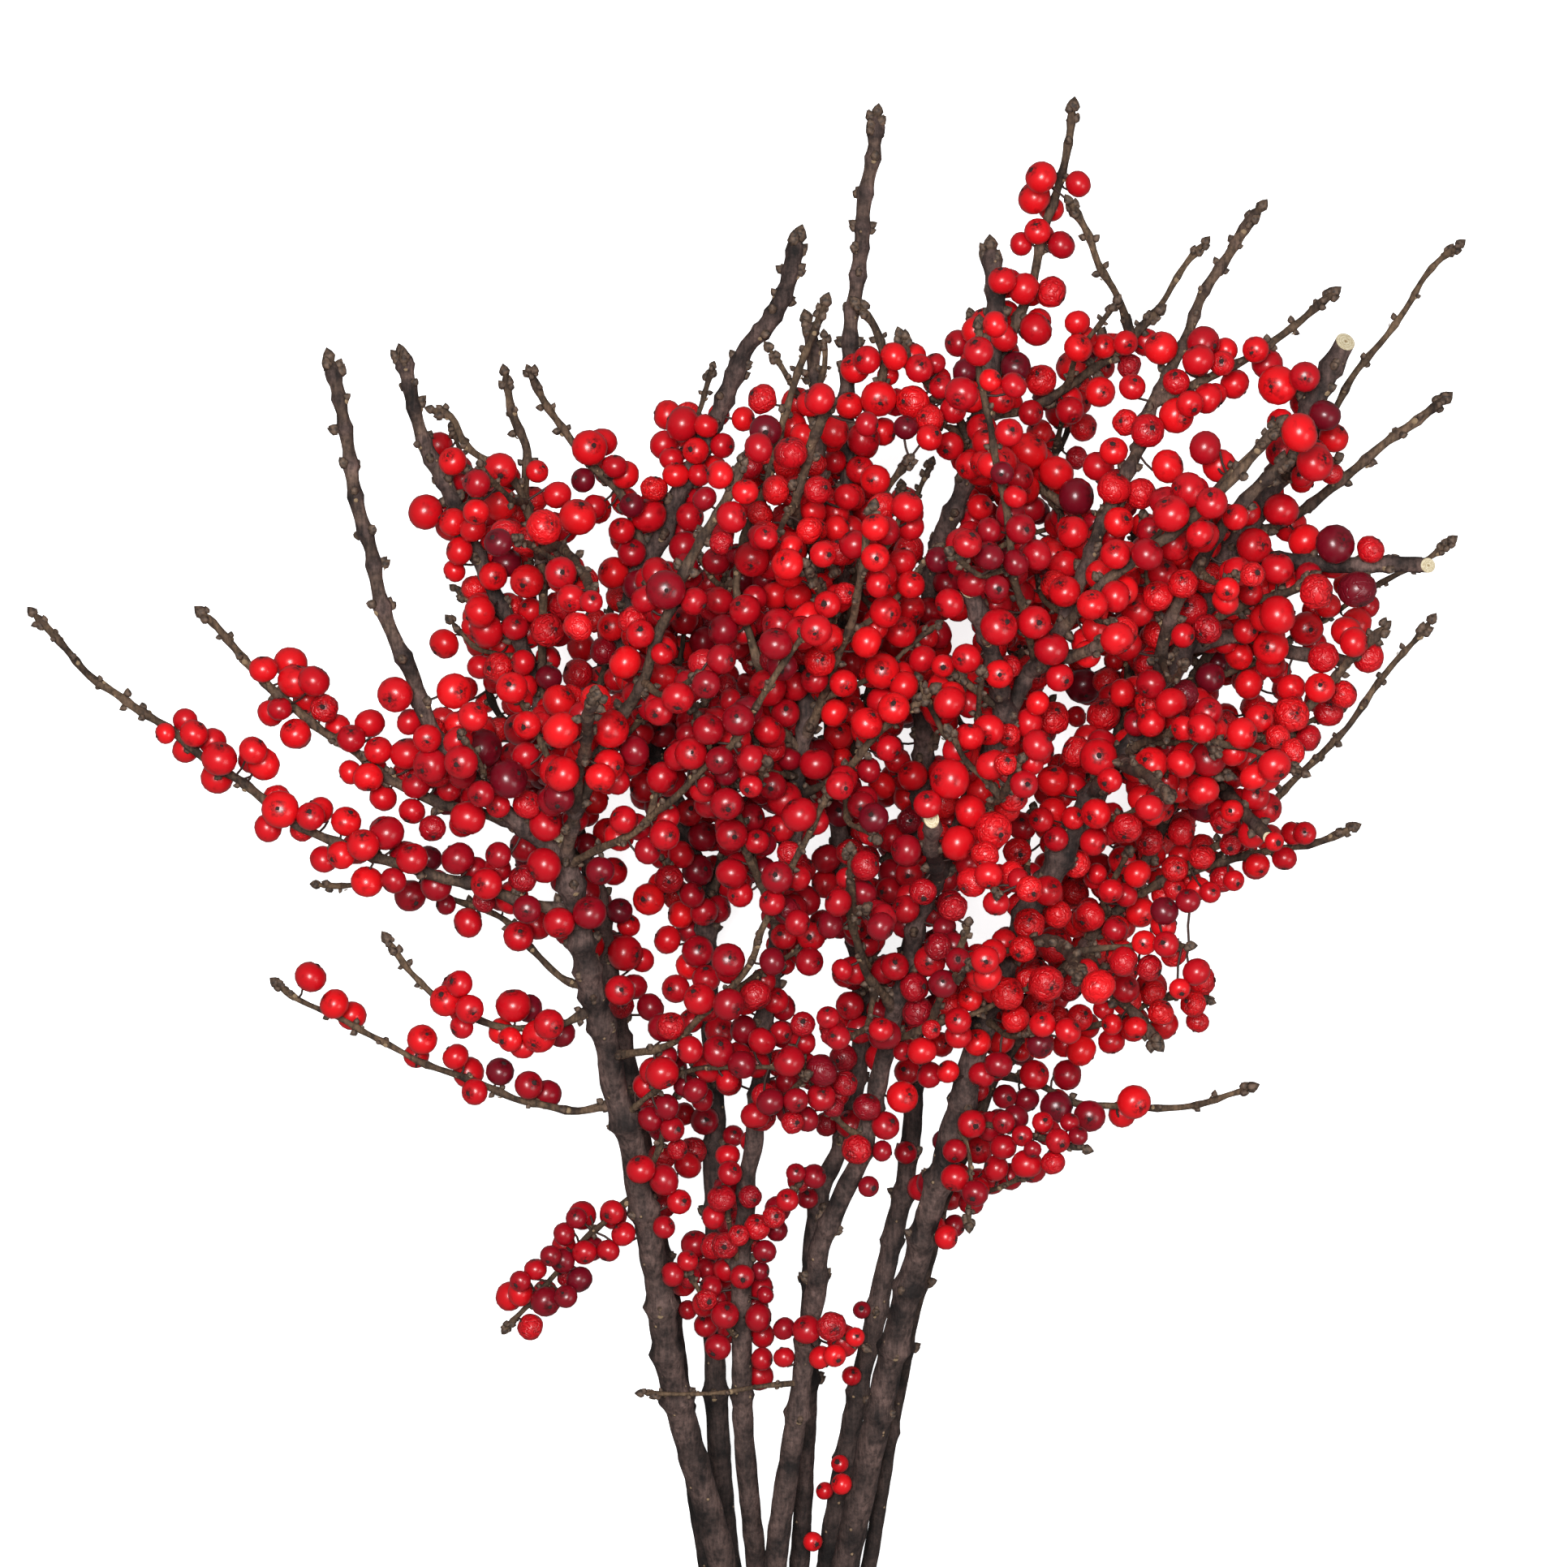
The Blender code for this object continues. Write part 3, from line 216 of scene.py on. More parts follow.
              (135.6, 394.6, 124), (141, 402, 123)],
             berries=(0.52, 0.84), gap=8, spurs=6, cut=True),
        limb("low cross twig", "stem", 1.8, 1.4,
             [(5, 54, 71), (-3, 53.5, 75), (-20, 51.5, 76), (-42, 51.5, 76)],
             berries=None),
        limb("low spur", "stem", 2.0, 1.6, [(8, 66, 75), (12, 69, 81), (17, 68, 84), (24, 64.5, 87)],
             berries=(0.05, 1.0), gap=6),
        limb("long olive twig", "stem", 3.0, 2.2,
             [(76, 268, 154), (73, 274, 164), (69, 293, 178), (63.8, 321, 187), (59.3, 346, 191),
              (58, 368, 191)],
             berries=(0.2, 0.62), gap=13, spurs=1),
        limb("cut twig", "stem", 3.4, 3.2, [(73, 265, 153), (80, 268, 162), (88, 270, 170), (95.5, 272, 176)],
             berries=(0.2, 0.75), gap=9, cut=True),
        limb("cut stub", "stem", 5.0, 4.8, [(64, 250, 150), (64, 262, 162), (60, 274, 172), (55.4, 287, 180)],
             berries=(0.1, 0.7), cut=True),
        limb("knobbed twig", "stem", 4.2, 3.0,
             [(80, 275, 154), (88, 284, 166), (102, 296, 176), (117, 307, 182), (129.6, 318, 186),
              (140, 330, 190), (146, 338, 192)], berries=(0.1, 0.72), spurs=3),
        limb("top right side", "stem", 3.4, 2.4,
             [(109, 344, 135), (122, 351, 132), (137, 358, 128), (152.6, 368, 124), (162.5, 377, 122)],
             berries=(0.08, 0.62), gap=9),
        limb("thin olive twig", "stem", 2.4, 1.8,
             [(55, 228, 145), (54, 238, 151), (47, 248, 150), (40, 262, 148)],
             gap=8),
        limb("olive side twig", "stem", 3.0, 2.6, [(66, 252, 150), (58, 260, 158), (50, 264, 161)],
             berries=(0.1, 0.95)),
        limb("front knob", "stem", 4.6, 4.4, [(44, 200, 136), (45, 208, 156), (43, 220, 182)], cut=True,
             berries=(0.1, 0.8), gap=6.5),
        limb("front cluster", "stem", 3.4, 2.4,
             [(51, 217, 142), (60, 224, 164), (66, 230, 184), (70, 238, 196)], berries=(0.1, 0.97), spurs=2),
        limb("low front", "stem", 3.2, 2.2, [(33, 165, 118), (24, 178, 136), (20, 194, 152), (20, 212, 164)],
             berries=(0.08, 0.95), spurs=2),
        limb("low right", "stem", 3.2, 2.2, [(31, 155, 112), (42, 160, 128), (48, 172, 142), (55, 190, 156)],
             berries=(0.08, 0.95), spurs=2),
        limb("lowest front", "stem", 2.4, 1.8, [(24, 126, 100), (15, 134, 112), (8, 143, 122), (3, 152, 130)],
             berries=(0.1, 0.95), gap=6),
    ],
    "branch_centre_back": [
        limb("stem", None, 6.6, 4.0,
             [(0.1, -100, 3.4), (-0.2, -72, 9.5), (-0.6, -45, 15.6), (4.5, 0, 32), (7, 50, 44.5),
              (9, 100, 55), (19, 133, 61), (23, 160, 66), (21, 186, 71), (17, 215, 80), (15, 245, 88),
              (16, 275, 94), (18, 300, 98), (19, 320, 100), (17.5, 346, 102), (20.9, 373, 104),
              (24, 402, 105), (27.8, 430, 105)],
             berries=(0.5, 0.83), gap=8, spurs=5, cut=True),
        limb("knobbed top", "stem", 3.0, 2.8,
             [(18, 330, 101), (27, 345, 108), (29, 357, 112), (26, 366, 114), (21.5, 373, 116)],
             berries=(0.05, 0.6)),
        limb("outer low", "stem", 4.0, 2.4,
             [(22, 180, 70), (30, 205, 52), (38, 230, 30), (42, 254, 8.5), (44, 270, 6)],
             berries=(0.15, 0.97), spurs=2),
        limb("second low", "stem", 3.2, 2.2,
             [(16, 225, 83), (22, 250, 66), (28, 275, 48), (30, 300, 34), (30, 322, 26)], spurs=3),
        limb("right tip", "stem", 3.2, 2.2,
             [(16, 278, 95), (22, 298, 108), (30, 317, 120), (37, 328, 126)], berries=(0.1, 0.62), spurs=1),
    ],
    "branch_right_back": [
        limb("stem", None, 6.8, 5.2,
             [(6.6, -100, 3.5), (6.8, -72, 11.8), (7, -45, 20.2), (12.5, 0, 30), (21.5, 50, 38),
              (33.5, 100, 44), (38, 140, 47), (38, 184, 50), (40, 215, 58), (41, 245, 66), (42, 270, 74),
              (43, 287, 80), (46, 302, 86), (51, 316, 92), (57.6, 332, 97), (60, 350, 100), (62.6, 365, 102),
              (63, 378, 103), (61.4, 390, 103)],
             berries=(0.55, 0.95), gap=8, spurs=5, cut=True),
        limb("grey twig", "stem", 3.6, 3.0,
             [(56, 329, 96), (50, 342.5, 104), (44, 349, 110), (37.7, 356, 115), (34, 364, 118)],
             berries=(0.3, 0.9), gap=6),
        limb("olive twig", "stem", 2.6, 2.0,
             [(55, 328, 95), (50, 336, 108), (44, 339, 118)], berries=(0.2, 1.0)),
        limb("tall top", "stem", 4.0, 2.8,
             [(60, 345, 99), (66, 359, 98), (73, 378, 97), (78, 399, 97), (84.5, 419, 97), (86.4, 431, 97)],
             berries=(0.1, 0.78), gap=8),
        limb("right top", "stem", 3.8, 2.8,
             [(59, 340, 98), (70, 342, 92), (84, 349, 90), (99, 359, 88), (106, 367, 88), (111, 372, 90)],
             berries=(0.1, 0.84), spurs=1),
        limb("leaning back twig", "right top", 3.0, 2.4,
             [(103, 363, 88), (99, 373, 94), (93.6, 384, 100), (90, 394.6, 104),
              (83.8, 404, 108)], berries=None),
        limb("thin right top", "right top", 2.4, 2.0,
             [(106, 367, 88), (112, 374, 86), (119, 385, 84), (124, 391, 83)],
             berries=None),
        limb("dark side", "stem", 4.0, 3.0,
             [(58, 333, 97), (66, 328, 106), (75, 321, 112), (83, 314, 118), (90, 305, 120)], spurs=2),
        limb("outer low", "stem", 4.0, 2.4,
             [(40, 210, 57), (54, 228, 40), (64, 250, 22), (70, 270, 8), (71, 286, 6)],
             berries=(0.15, 0.97), spurs=2),
        limb("upper low", "stem", 3.4, 2.2,
             [(43, 287, 80), (58, 300, 62), (70, 315, 46), (80, 330, 36), (86, 342, 30)], spurs=3),
        limb("middle", "stem", 3.6, 2.4,
             [(41, 240, 65), (52, 258, 76), (64, 275, 84), (76, 290, 90), (84, 305, 94)], spurs=4),
    ],
    "branch_right": [
        limb("stem", None, 9.6, 6.0,
             [(5.9, -100, 13), (6.7, -72, 22.2), (7.4, -45, 31), (18, 0, 43.5), (29, 50, 60), (41.5, 100, 79),
              (56, 150, 99), (62, 172, 107), (78, 204, 116), (92, 228, 120), (108, 251, 122), (118, 270, 123),
              (127, 290, 124), (134, 303, 126), (142, 317, 128), (152, 335, 130), (165, 360, 132)],
             berries=(0.55, 0.96), gap=9, spurs=6, cut=True),
        limb("low side", "stem", 2.4, 1.8,
             [(47, 123, 90), (58, 130, 96), (70, 128, 100), (89, 123, 104)], gap=6.5),
        limb("hanging twig", "stem", 1.8, 1.4,
             [(52, 130, 93), (56, 120, 99), (54.5, 101, 102)], berries=None),
        limb("end-on cluster", "stem", 4.4, 3.6,
             [(66, 180, 110), (76, 185, 134), (84, 182, 160), (87, 175, 182)], berries=(0.1, 0.82),
              gap=6, spurs=2),
        limb("end-on olive twig", "stem", 4.4, 3.8,
             [(92, 228, 120), (98, 238, 140), (104, 236, 165), (113, 228.5, 188)], berries=(0.1, 0.7),
              spurs=1),
        limb("front branch", "stem", 5.0, 3.8,
             [(110, 255, 123), (112, 270, 140), (117, 285, 152), (123, 296, 158), (129.6, 307, 162),
              (142, 321, 168), (149.5, 328, 172)], berries=(0.08, 0.66), spurs=3),
        limb("long bare twig", "stem", 3.8, 3.0,
             [(136, 306, 127), (147, 309, 122), (162, 319, 118), (178, 332, 114), (194.6, 346, 110)],
             berries=(0.05, 0.22), gap=6),
        limb("thin top twig", "stem", 3.0, 2.0,
             [(144, 320, 128), (152, 328, 120), (163, 342, 112), (171, 355, 108), (182, 370, 104),
              (192, 385, 101), (199, 391, 100)], berries=(0.05, 0.5), gap=9),
        limb("cut side", "stem", 5.0, 4.4,
             [(131, 297, 125), (141, 298.5, 130), (160, 297, 136), (189.4, 296.6, 142)],
             berries=(0.05, 0.75), gap=10, cut=True),
        limb("thin side", "stem", 2.6, 1.9,
             [(112, 256, 121), (125, 262, 106), (141, 269, 96), (158, 279, 92), (176, 290.5, 90),
              (189, 298, 90), (196.6, 303, 90)], berries=(0.08, 0.72), gap=11),
        limb("knobbed side", "stem", 3.8, 2.8,
             [(120, 274, 124), (128, 280, 134), (139, 286, 142), (150, 289, 147), (156, 293, 149)],
             berries=(0.05, 0.8), gap=8),
        limb("second cut side", "stem", 4.2, 4.0,
             [(119, 272, 123), (133, 275, 116), (150, 271.5, 112), (165, 267, 110)],
             berries=(0.05, 0.86), gap=7, cut=True),
        limb("right low", "stem", 4.4, 2.6,
             [(108, 250, 121), (120, 262, 96), (130, 278, 74), (136, 296, 54), (138, 312, 40)], spurs=3),
        limb("back low", "stem", 4.0, 2.4,
             [(92, 228, 120), (98, 245, 92), (102, 265, 66), (104, 288, 44), (104, 308, 28)], spurs=4),
        limb("front low", "stem", 3.2, 2.2,
             [(100, 240, 121), (112, 246, 146), (121, 246, 166), (129, 240, 180)],
             berries=(0.1, 0.97), spurs=2),
    ],
    "branch_right_low": [
        limb("stem", None, 6.2, 1.9,
             [(12.9, -100, 3.2), (13.8, -72, 10.8), (14.6, -45, 18.4), (25, 0, 28), (33.5, 50, 38),
              (45, 100, 51), (55, 128, 58), (63, 146, 63), (75, 166, 68), (88, 184, 72), (102, 196, 75),
              (115, 204, 78), (126, 207, 80), (142.6, 211.5, 84), (157, 213.3, 88),
              (167.5, 218, 90)], berries=(0.55, 0.93), gap=8, spurs=4, cut=True),
        limb("bare side", "stem", 3.0, 2.0,
             [(63, 146, 63), (76, 142.5, 66), (90, 137.5, 70), (116, 135, 74), (130, 139, 77),
              (138, 141.5, 78)],
             berries=(0.1, 0.5), gap=16),
        limb("second side", "stem", 2.8, 2.0,
             [(72, 161, 67), (80, 160, 72), (92, 161, 76), (108, 167, 80), (118, 169.5, 82), (126, 167, 84)],
             berries=(0.15, 0.97), gap=6.5),
        limb("drooping knob", "stem", 4.0, 3.6,
             [(88, 184, 72), (92, 176, 88), (97, 170, 98), (104, 163, 105),
              (110, 156, 110)], berries=(0.2, 0.6), gap=7),
        limb("long thin twig", "stem", 3.2, 2.0,
             [(112, 202, 77), (124, 211, 84), (135, 217.5, 90), (144, 225.5, 93), (158, 240, 96),
              (170, 253, 98), (184.6, 271.4, 99), (191, 280, 99)], berries=(0.05, 0.2), gap=6),
        limb("bud twig", "stem", 4.2, 2.8,
             [(102, 196, 75), (108, 212, 84), (117, 228, 93), (125, 236, 100), (134, 239.5, 106),
              (141, 243, 110), (156, 255, 116), (167, 267.5, 120), (178, 278, 122)], berries=(0.12, 0.9),
              spurs=2),
        limb("end-on twig", "bud twig", 4.0, 3.6,
             [(124, 235, 99), (130, 231, 115), (137, 223, 130), (143, 215, 142)],
             berries=(0.1, 0.75), gap=8, cut=True),
        limb("outer low", "stem", 3.6, 2.4,
             [(75, 166, 68), (86, 182, 50), (100, 198, 32), (112, 216, 14), (118, 230, 6.5), (121, 242, 6)],
             berries=(0.2, 0.97), spurs=2),
        limb("upper low", "bud twig", 3.4, 2.2,
             [(117, 228, 93), (126, 236, 66), (134, 246, 44), (140, 258, 30), (142, 272, 22)], spurs=2),
        limb("inner low", "stem", 3.0, 2.2,
             [(63, 146, 63), (70, 160, 44), (76, 178, 26), (80, 194, 9), (82, 210, 6)], berries=(0.2, 0.97),
              spurs=1),
    ],
}


def place(seen):
    """Where a point lies that the eye sees at x, y on the middle plane, at height z, with a little wander."""
    x, y, z = seen
    nearer = (EYE_HEIGHT - (z - MIDDLE_HEIGHT)) / EYE_HEIGHT
    flat = SEEN_CENTRE + (Vector((x, y)) - SEEN_CENTRE) * nearer - ORIGIN
    return Vector((flat.x, flat.y, z))


def wander(point):
    """Wood is never quite straight: a smooth drift that is the same for all wood at one place."""
    reach = max(0.0, min(1.0, (point.y + ORIGIN.y - WANDER_FROM) / WANDER_GROWS))
    drift = Vector([noise.noise(point / WANDER_LENGTH + Vector((shift, 0, 0))) for shift in WANDER_SHIFTS])
    return point + drift * WANDER * reach


def smooth(points, step):
    """A smooth curve through the points, cut into even steps."""
    around = [points[0] * 2 - points[1], *points, points[-1] * 2 - points[-2]]
    dense = []
    for before, start, stop, after in zip(around, around[1:], around[2:], around[3:]):
        cuts = max(2, round((stop - start).length))
        for i in range(cuts):
            t = i / cuts
            squared = (2 * before - 5 * start + 4 * stop - after) * t**2
            cubed = (3 * start - before - 3 * stop + after) * t**3
            dense.append((2 * start + (stop - before) * t + squared + cubed) * 0.5)
    dense.append(points[-1])
    lengths = [0.0]
    for start, stop in zip(dense, dense[1:]):
        lengths.append(lengths[-1] + (stop - start).length)
    count = max(2, round(lengths[-1] / step))
    even, at = [], 0
    for i in range(count + 1):
        wanted = lengths[-1] * i / count
        while at < len(dense) - 2 and lengths[at + 1] < wanted:
            at += 1
        share = (wanted - lengths[at]) / max(lengths[at + 1] - lengths[at], 1e-9)
        even.append(dense[at].lerp(dense[at + 1], min(1.0, share)))
    return even


def taper(thick, thin, count):
    return [(thick + (thin - thick) * i / (count - 1)) / 2 for i in range(count)]


def nearest(spine, point):
    return min(range(len(spine)), key=lambda i: (spine[i] - point).length)


def direction(spine, i):
    return (spine[min(i + 1, len(spine) - 1)] - spine[max(i - 1, 0)]).normalized()


class Space:
    """Balls sorted into boxes, to ask quickly whether a new ball has room. It sees one box's side away."""

    def __init__(self, side=12.0):
        self.side = side
        self.boxes = {}

    def box(self, point):
        return tuple(math.floor(value / self.side) for value in point)

    def add(self, point, radius, owner):
        self.boxes.setdefault(self.box(point), []).append((point, radius, owner))

    def near(self, point):
        x, y, z = self.box(point)
        for i in (-1, 0, 1):
            for j in (-1, 0, 1):
                for k in (-1, 0, 1):
                    yield from self.boxes.get((x + i, y + j, z + k), ())

    def room(self, point, radius, gap, own=None, own_gap=-math.inf):
        return all((other - point).length >= radius + size + (own_gap if owner == own else gap)
                   for other, size, owner in self.near(point))


def spur_route(route, i, draw):
    """A short shoot off the route at its point i, turned mostly up or down, that bends along the route."""
    along = direction(route, i)
    side = Vector((draw.uniform(-0.75, 0.75), draw.uniform(-0.3, 0.3), draw.choice((-1, 1))))
    side = (side - along * side.dot(along)).normalized()
    length = draw.uniform(*SPUR_LENGTHS)
    lean = SPUR_LEAN * draw.uniform(0.6, 1.3)
    points = [route[i], route[i] + (side + along * lean * 0.5) * length * 0.5,
              route[i] + (side * 0.9 + along * lean) * length]
    return [wander(point) - (wander(points[0]) - points[0]) for point in smooth(points, FINE_STEP)]


def grow_wood():
    """The twigs of each branch: first every limb on its route, then the spurs that find room between them."""
    wood, space, carriers = {}, Space(), []
    for branch, parts in BRANCHES.items():
        grown = {}
        for part in parts:
            route = [wander(point) for point in smooth([place(seen) for seen in part.points], FINE_STEP)]
            parent = grown.get(part.on)
            if parent:
                shift = parent.spine[nearest(parent.spine, route[0])] - route[0]
                fade = min(JOINT_FADE, len(route))
                for i in range(fade):
                    route[i] = route[i] + shift * (1 - i / fade)
            twig = Twig(part.name, route, taper(part.thick, part.thin, len(route)), part.berries, part.gap,
                        part.cut, part.on)
            grown[part.name] = twig
            carriers.append((branch, part, twig))
            for point, radius in zip(twig.spine, twig.radii):
                space.add(point, radius, (branch, part.name))
        wood[branch] = list(grown.values())
    draw = random.Random(SEED)
    for branch, part, carrier in carriers:
        last = len(carrier.spine) - 1
        for n in range(part.spurs):
            low, high = part.berries or BARE_SPURS
            at = low + (high - low) * (n + draw.uniform(0.2, 0.8)) / part.spurs
            for _ in range(TRIES):
                spur = spur_route(carrier.spine, round(at * last), draw)
                if all(LOWEST_WOOD < point.z < HIGHEST_WOOD for point in spur) and all(
                        space.room(point, SPUR_THICKNESS[0] / 2, SPUR_ROOM, own=(branch, part.name))
                        for point in spur[4:]):
                    name = f"{part.name} spur {n}"
                    twig = Twig(name, spur, taper(*SPUR_THICKNESS, len(spur)), SPUR_BERRIES, SPUR_GAP, False,
                                part.name)
                    wood[branch].append(twig)
                    for point, radius in zip(twig.spine, twig.radii):
                        space.add(point, radius, (branch, name))
                    break
    return wood


wood = grow_wood()

# Bark
# The wood of each branch in its bark: grey-brown and rough on the stems, smoother and olive on the young
# twigs, swollen at each leaf scar and at the collar where a twig leaves its stem, with pale corky pores.

# Sides of a tube, and the thickness from which it has a stem's. Drawn twigs are slimmer than their solids
# between knots. A stem has no knots up to STEM_KNOTS_FROM, and few up to OLD_WOOD.
STEM_SIDES = 16
TWIG_SIDES = 9
STEM_FROM = 5.4
TWIG_SLIMMING = 0.8
STEM_KNOTS_FROM = 150.0
COLLAR = 0.45
COLLAR_LENGTH = 5.0
KNOT_SPACING = (9.0, 17.0)
KNOT_LENGTH = 1.9
KNOT_REACH = 5
FIRST_KNOT = (3.0, 8.0)
OLD_WOOD = 290.0
OLD_SPACING = (4.0, 22.0)
KNOT_SWELL = 0.34
UNEVEN = 0.13
UNEVEN_LENGTH = 6.0
WARTS = 0.22
WART_LENGTH = 3.4

# A grown tip swells where its buds crowd, then narrows to its end. A stem's tip counts as cut from the radius
# LEAST_CUT_TIP.
TIP_SWELL = 0.35
TIP_SWELL_BACK = 3.0
TIP_SWELL_LENGTH = 2.4
TIP_NARROWS = 0.55
TIP_NARROWS_OVER = 2.5
LEAST_CUT_TIP = 3.0


def colour(hexa):
    """The linear colour of an sRGB hex value."""
    parts = [int(hexa[i:i + 2], 16) / 255 for i in (0, 2, 4)]
    return (*[p / 12.92 if p <= 0.04045 else ((p + 0.055) / 1.055) ** 2.4 for p in parts], 1.0)


def add(tree, kind, sockets=None, **settings):
    """A node of that kind with its settings. Each socket is given a value, or an output to link to."""
    made = tree.nodes.new(kind)
    for name, value in settings.items():
        setattr(made, name, value)
    for key, value in (sockets or {}).items():
        if isinstance(value, bpy.types.NodeSocket):
            tree.links.new(value, made.inputs[key])
        else:
            made.inputs[key].default_value = value
    return made


def new_tree(name, inputs):
    """A node group that takes a geometry and the named inputs, with its group input node and its output."""
    tree = bpy.data.node_groups.new(name, "GeometryNodeTree")
    tree.interface.new_socket("Geometry", in_out="INPUT", socket_type="NodeSocketGeometry")
    for label, kind in inputs:
        tree.interface.new_socket(label, in_out="INPUT", socket_type=kind)
    tree.interface.new_socket("Geometry", in_out="OUTPUT", socket_type="NodeSocketGeometry")
    return tree, tree.nodes.new("NodeGroupInput").outputs


def end_tree(tree, geometry, material):
    real = add(tree, "GeometryNodeRealizeInstances", {"Geometry": geometry})
    painted = add(tree, "GeometryNodeSetMaterial", {"Geometry": real.outputs[0], "Material": material})
    add(tree, "NodeGroupOutput", {"Geometry": painted.outputs[0]})


def make_points(name, points, edges=(), **columns):
    """A mesh object of bare points in metres, with one named number or vector for each point."""
    data = bpy.data.meshes.new(name)
    data.from_pydata([tuple(point * MM) for point in points], list(edges), [])
    for label, values in columns.items():
        if isinstance(values[0], Vector):
            data.attributes.new(label, "FLOAT_VECTOR", "POINT").data.foreach_set(
                "vector", [number for value in values for number in value])
        else:
            data.attributes.new(label, "FLOAT", "POINT").data.foreach_set("value", values)
    made = bpy.data.objects.new(name, data)
    bpy.context.scene.collection.objects.link(made)
    return made


def grow_mesh(obj, tree, **values):
    """Runs the tree on the object with those inputs, and leaves the result as its plain mesh."""
    modifier = obj.modifiers.new(tree.name, "NODES")
    modifier.node_group = tree
    sockets = {item.name.replace(" ", "_"): item.identifier for item in tree.interface.items_tree
               if item.in_out == "INPUT"}
    for label, value in values.items():
        modifier[sockets[label]] = value
    bpy.context.view_layer.update()
    mesh = bpy.data.meshes.new_from_object(obj.evaluated_get(bpy.context.evaluated_depsgraph_get()))
    obj.modifiers.clear()
    obj.data = mesh
    return obj


def join(name, objects):
    """One object from several, made of all their faces."""
    mesh = bmesh.new()
    data = bpy.data.meshes.new(name)
    for material in objects[0].data.materials:
        data.materials.append(material)
    for obj in objects:
        mesh.from_mesh(obj.data)
        bpy.data.objects.remove(obj)
    mesh.to_mesh(data)
    mesh.free()
    made = bpy.data.objects.new(name, data)
    bpy.context.scene.collection.objects.link(made)
    return made


# Winter bark: matt grey-brown cork over older wood, thin olive skin on the young twigs, flecked with tan
# pores about a millimetre wide and darkened by dirt between its warts, with painted shade making it darker
# the lower it lies in the bunch.
bark = bpy.data.materials.new("winter_bark")
bark.use_nodes = True
shade = bark.node_tree
skin = shade.nodes["Principled BSDF"]
place_in = add(shade, "ShaderNodeTexCoord").outputs["Object"]
girth = add(shade, "ShaderNodeAttribute", attribute_name="thick").outputs["Fac"]
age = add(shade, "ShaderNodeMapRange", {0: girth, 1: 0.0009, 2: 0.0026}, interpolation_type="SMOOTHSTEP")
patches = add(shade, "ShaderNodeTexNoise", {"Vector": place_in, "Scale": 1 / 0.012, "Detail": 5.0,
                                            "Roughness": 0.6})
grain = add(shade, "ShaderNodeTexNoise", {"Vector": place_in, "Scale": 1 / 0.0017, "Detail": 4.0,
                                          "Roughness": 0.65})
old = add(shade, "ShaderNodeValToRGB", {"Fac": patches.outputs["Fac"]})
old.color_ramp.elements[0].position, old.color_ramp.elements[0].color = 0.36, colour("221917")
old.color_ramp.elements[1].position, old.color_ramp.elements[1].color = 0.66, colour("6A544E")
young = add(shade, "ShaderNodeValToRGB", {"Fac": patches.outputs["Fac"]})
young.color_ramp.elements[0].position, young.color_ramp.elements[0].color = 0.36, colour("38291F")
young.color_ramp.elements[1].position, young.color_ramp.elements[1].color = 0.66, colour("735C46")
base = add(shade, "ShaderNodeMix", {0: age.outputs[0], 6: young.outputs[0], 7: old.outputs[0]},
           data_type="RGBA")
lengthwise = add(shade, "ShaderNodeVectorMath", {0: place_in, 1: (1.0, 0.12, 1.0)}, operation="MULTIPLY")
streaks = add(shade, "ShaderNodeTexNoise", {"Vector": lengthwise.outputs[0], "Scale": 1 / 0.0011,
                                            "Detail": 3.0, "Roughness": 0.6})
fibre = add(shade, "ShaderNodeMath", {0: grain.outputs["Fac"], 1: streaks.outputs["Fac"]}, operation="ADD")
dirt = add(shade, "ShaderNodeMapRange", {0: fibre.outputs[0], 1: 0.76, 2: 1.22, 3: 0.35, 4: 1.35})
# Painted shade: the nearer the bark lies to the table, the darker its colour, standing in for the shadow deep
# in the bunch.
above_table = add(shade, "ShaderNodeSeparateXYZ", {0: place_in}).outputs[2]
painted_depth_shade = add(shade, "ShaderNodeMapRange", {0: above_table, 1: 0.015, 2: 0.075, 3: 0.28, 4: 1.0},
           interpolation_type="SMOOTHSTEP")
grime_and_painted_shade = add(shade, "ShaderNodeMath", {0: dirt.outputs[0], 1: painted_depth_shade.outputs[0]}, operation="MULTIPLY")
dirty_and_shaded = add(shade, "ShaderNodeMix", {0: 1.0, 6: base.outputs[2], 7: grime_and_painted_shade.outputs[0]}, data_type="RGBA",
            blend_type="MULTIPLY")
pores = add(shade, "ShaderNodeTexVoronoi", {"Vector": place_in, "Scale": 1 / 0.0046, "Randomness": 1.0})
pore = add(shade, "ShaderNodeMapRange", {0: pores.outputs["Distance"], 1: 0.13, 2: 0.07})
picked = add(shade, "ShaderNodeMapRange", {0: add(shade, "ShaderNodeSeparateColor", {
    0: pores.outputs["Color"]}).outputs[0], 1: 0.45, 2: 0.55})
flecks = add(shade, "ShaderNodeMath", {0: pore.outputs[0], 1: picked.outputs[0]}, operation="MULTIPLY")
flecked = add(shade, "ShaderNodeMix", {0: flecks.outputs[0], 6: dirty_and_shaded.outputs[2], 7: colour("93795F")},
              data_type="RGBA")
rough = add(shade, "ShaderNodeTexNoise", {"Vector": place_in, "Scale": 1 / 0.0009, "Detail": 6.0,
                                          "Roughness": 0.7})
furrowed = add(shade, "ShaderNodeMath", {0: streaks.outputs["Fac"], 1: 0.8, 2: flecks.outputs[0]},
               operation="MULTIPLY_ADD")
raised = add(shade, "ShaderNodeMath", {0: rough.outputs["Fac"], 1: 0.6, 2: furrowed.outputs[0]},
             operation="MULTIPLY_ADD")
relief = add(shade, "ShaderNodeBump", {"Strength": 0.75, "Distance": 0.0008, "Height": raised.outputs[0]})
for socket, output in (("Base Color", flecked.outputs[2]), ("Normal", relief.outputs[0])):
    shade.links.new(output, skin.inputs[socket])
skin.inputs["Roughness"].default_value = 0.78
skin.inputs["Specular IOR Level"].default_value = 0.35

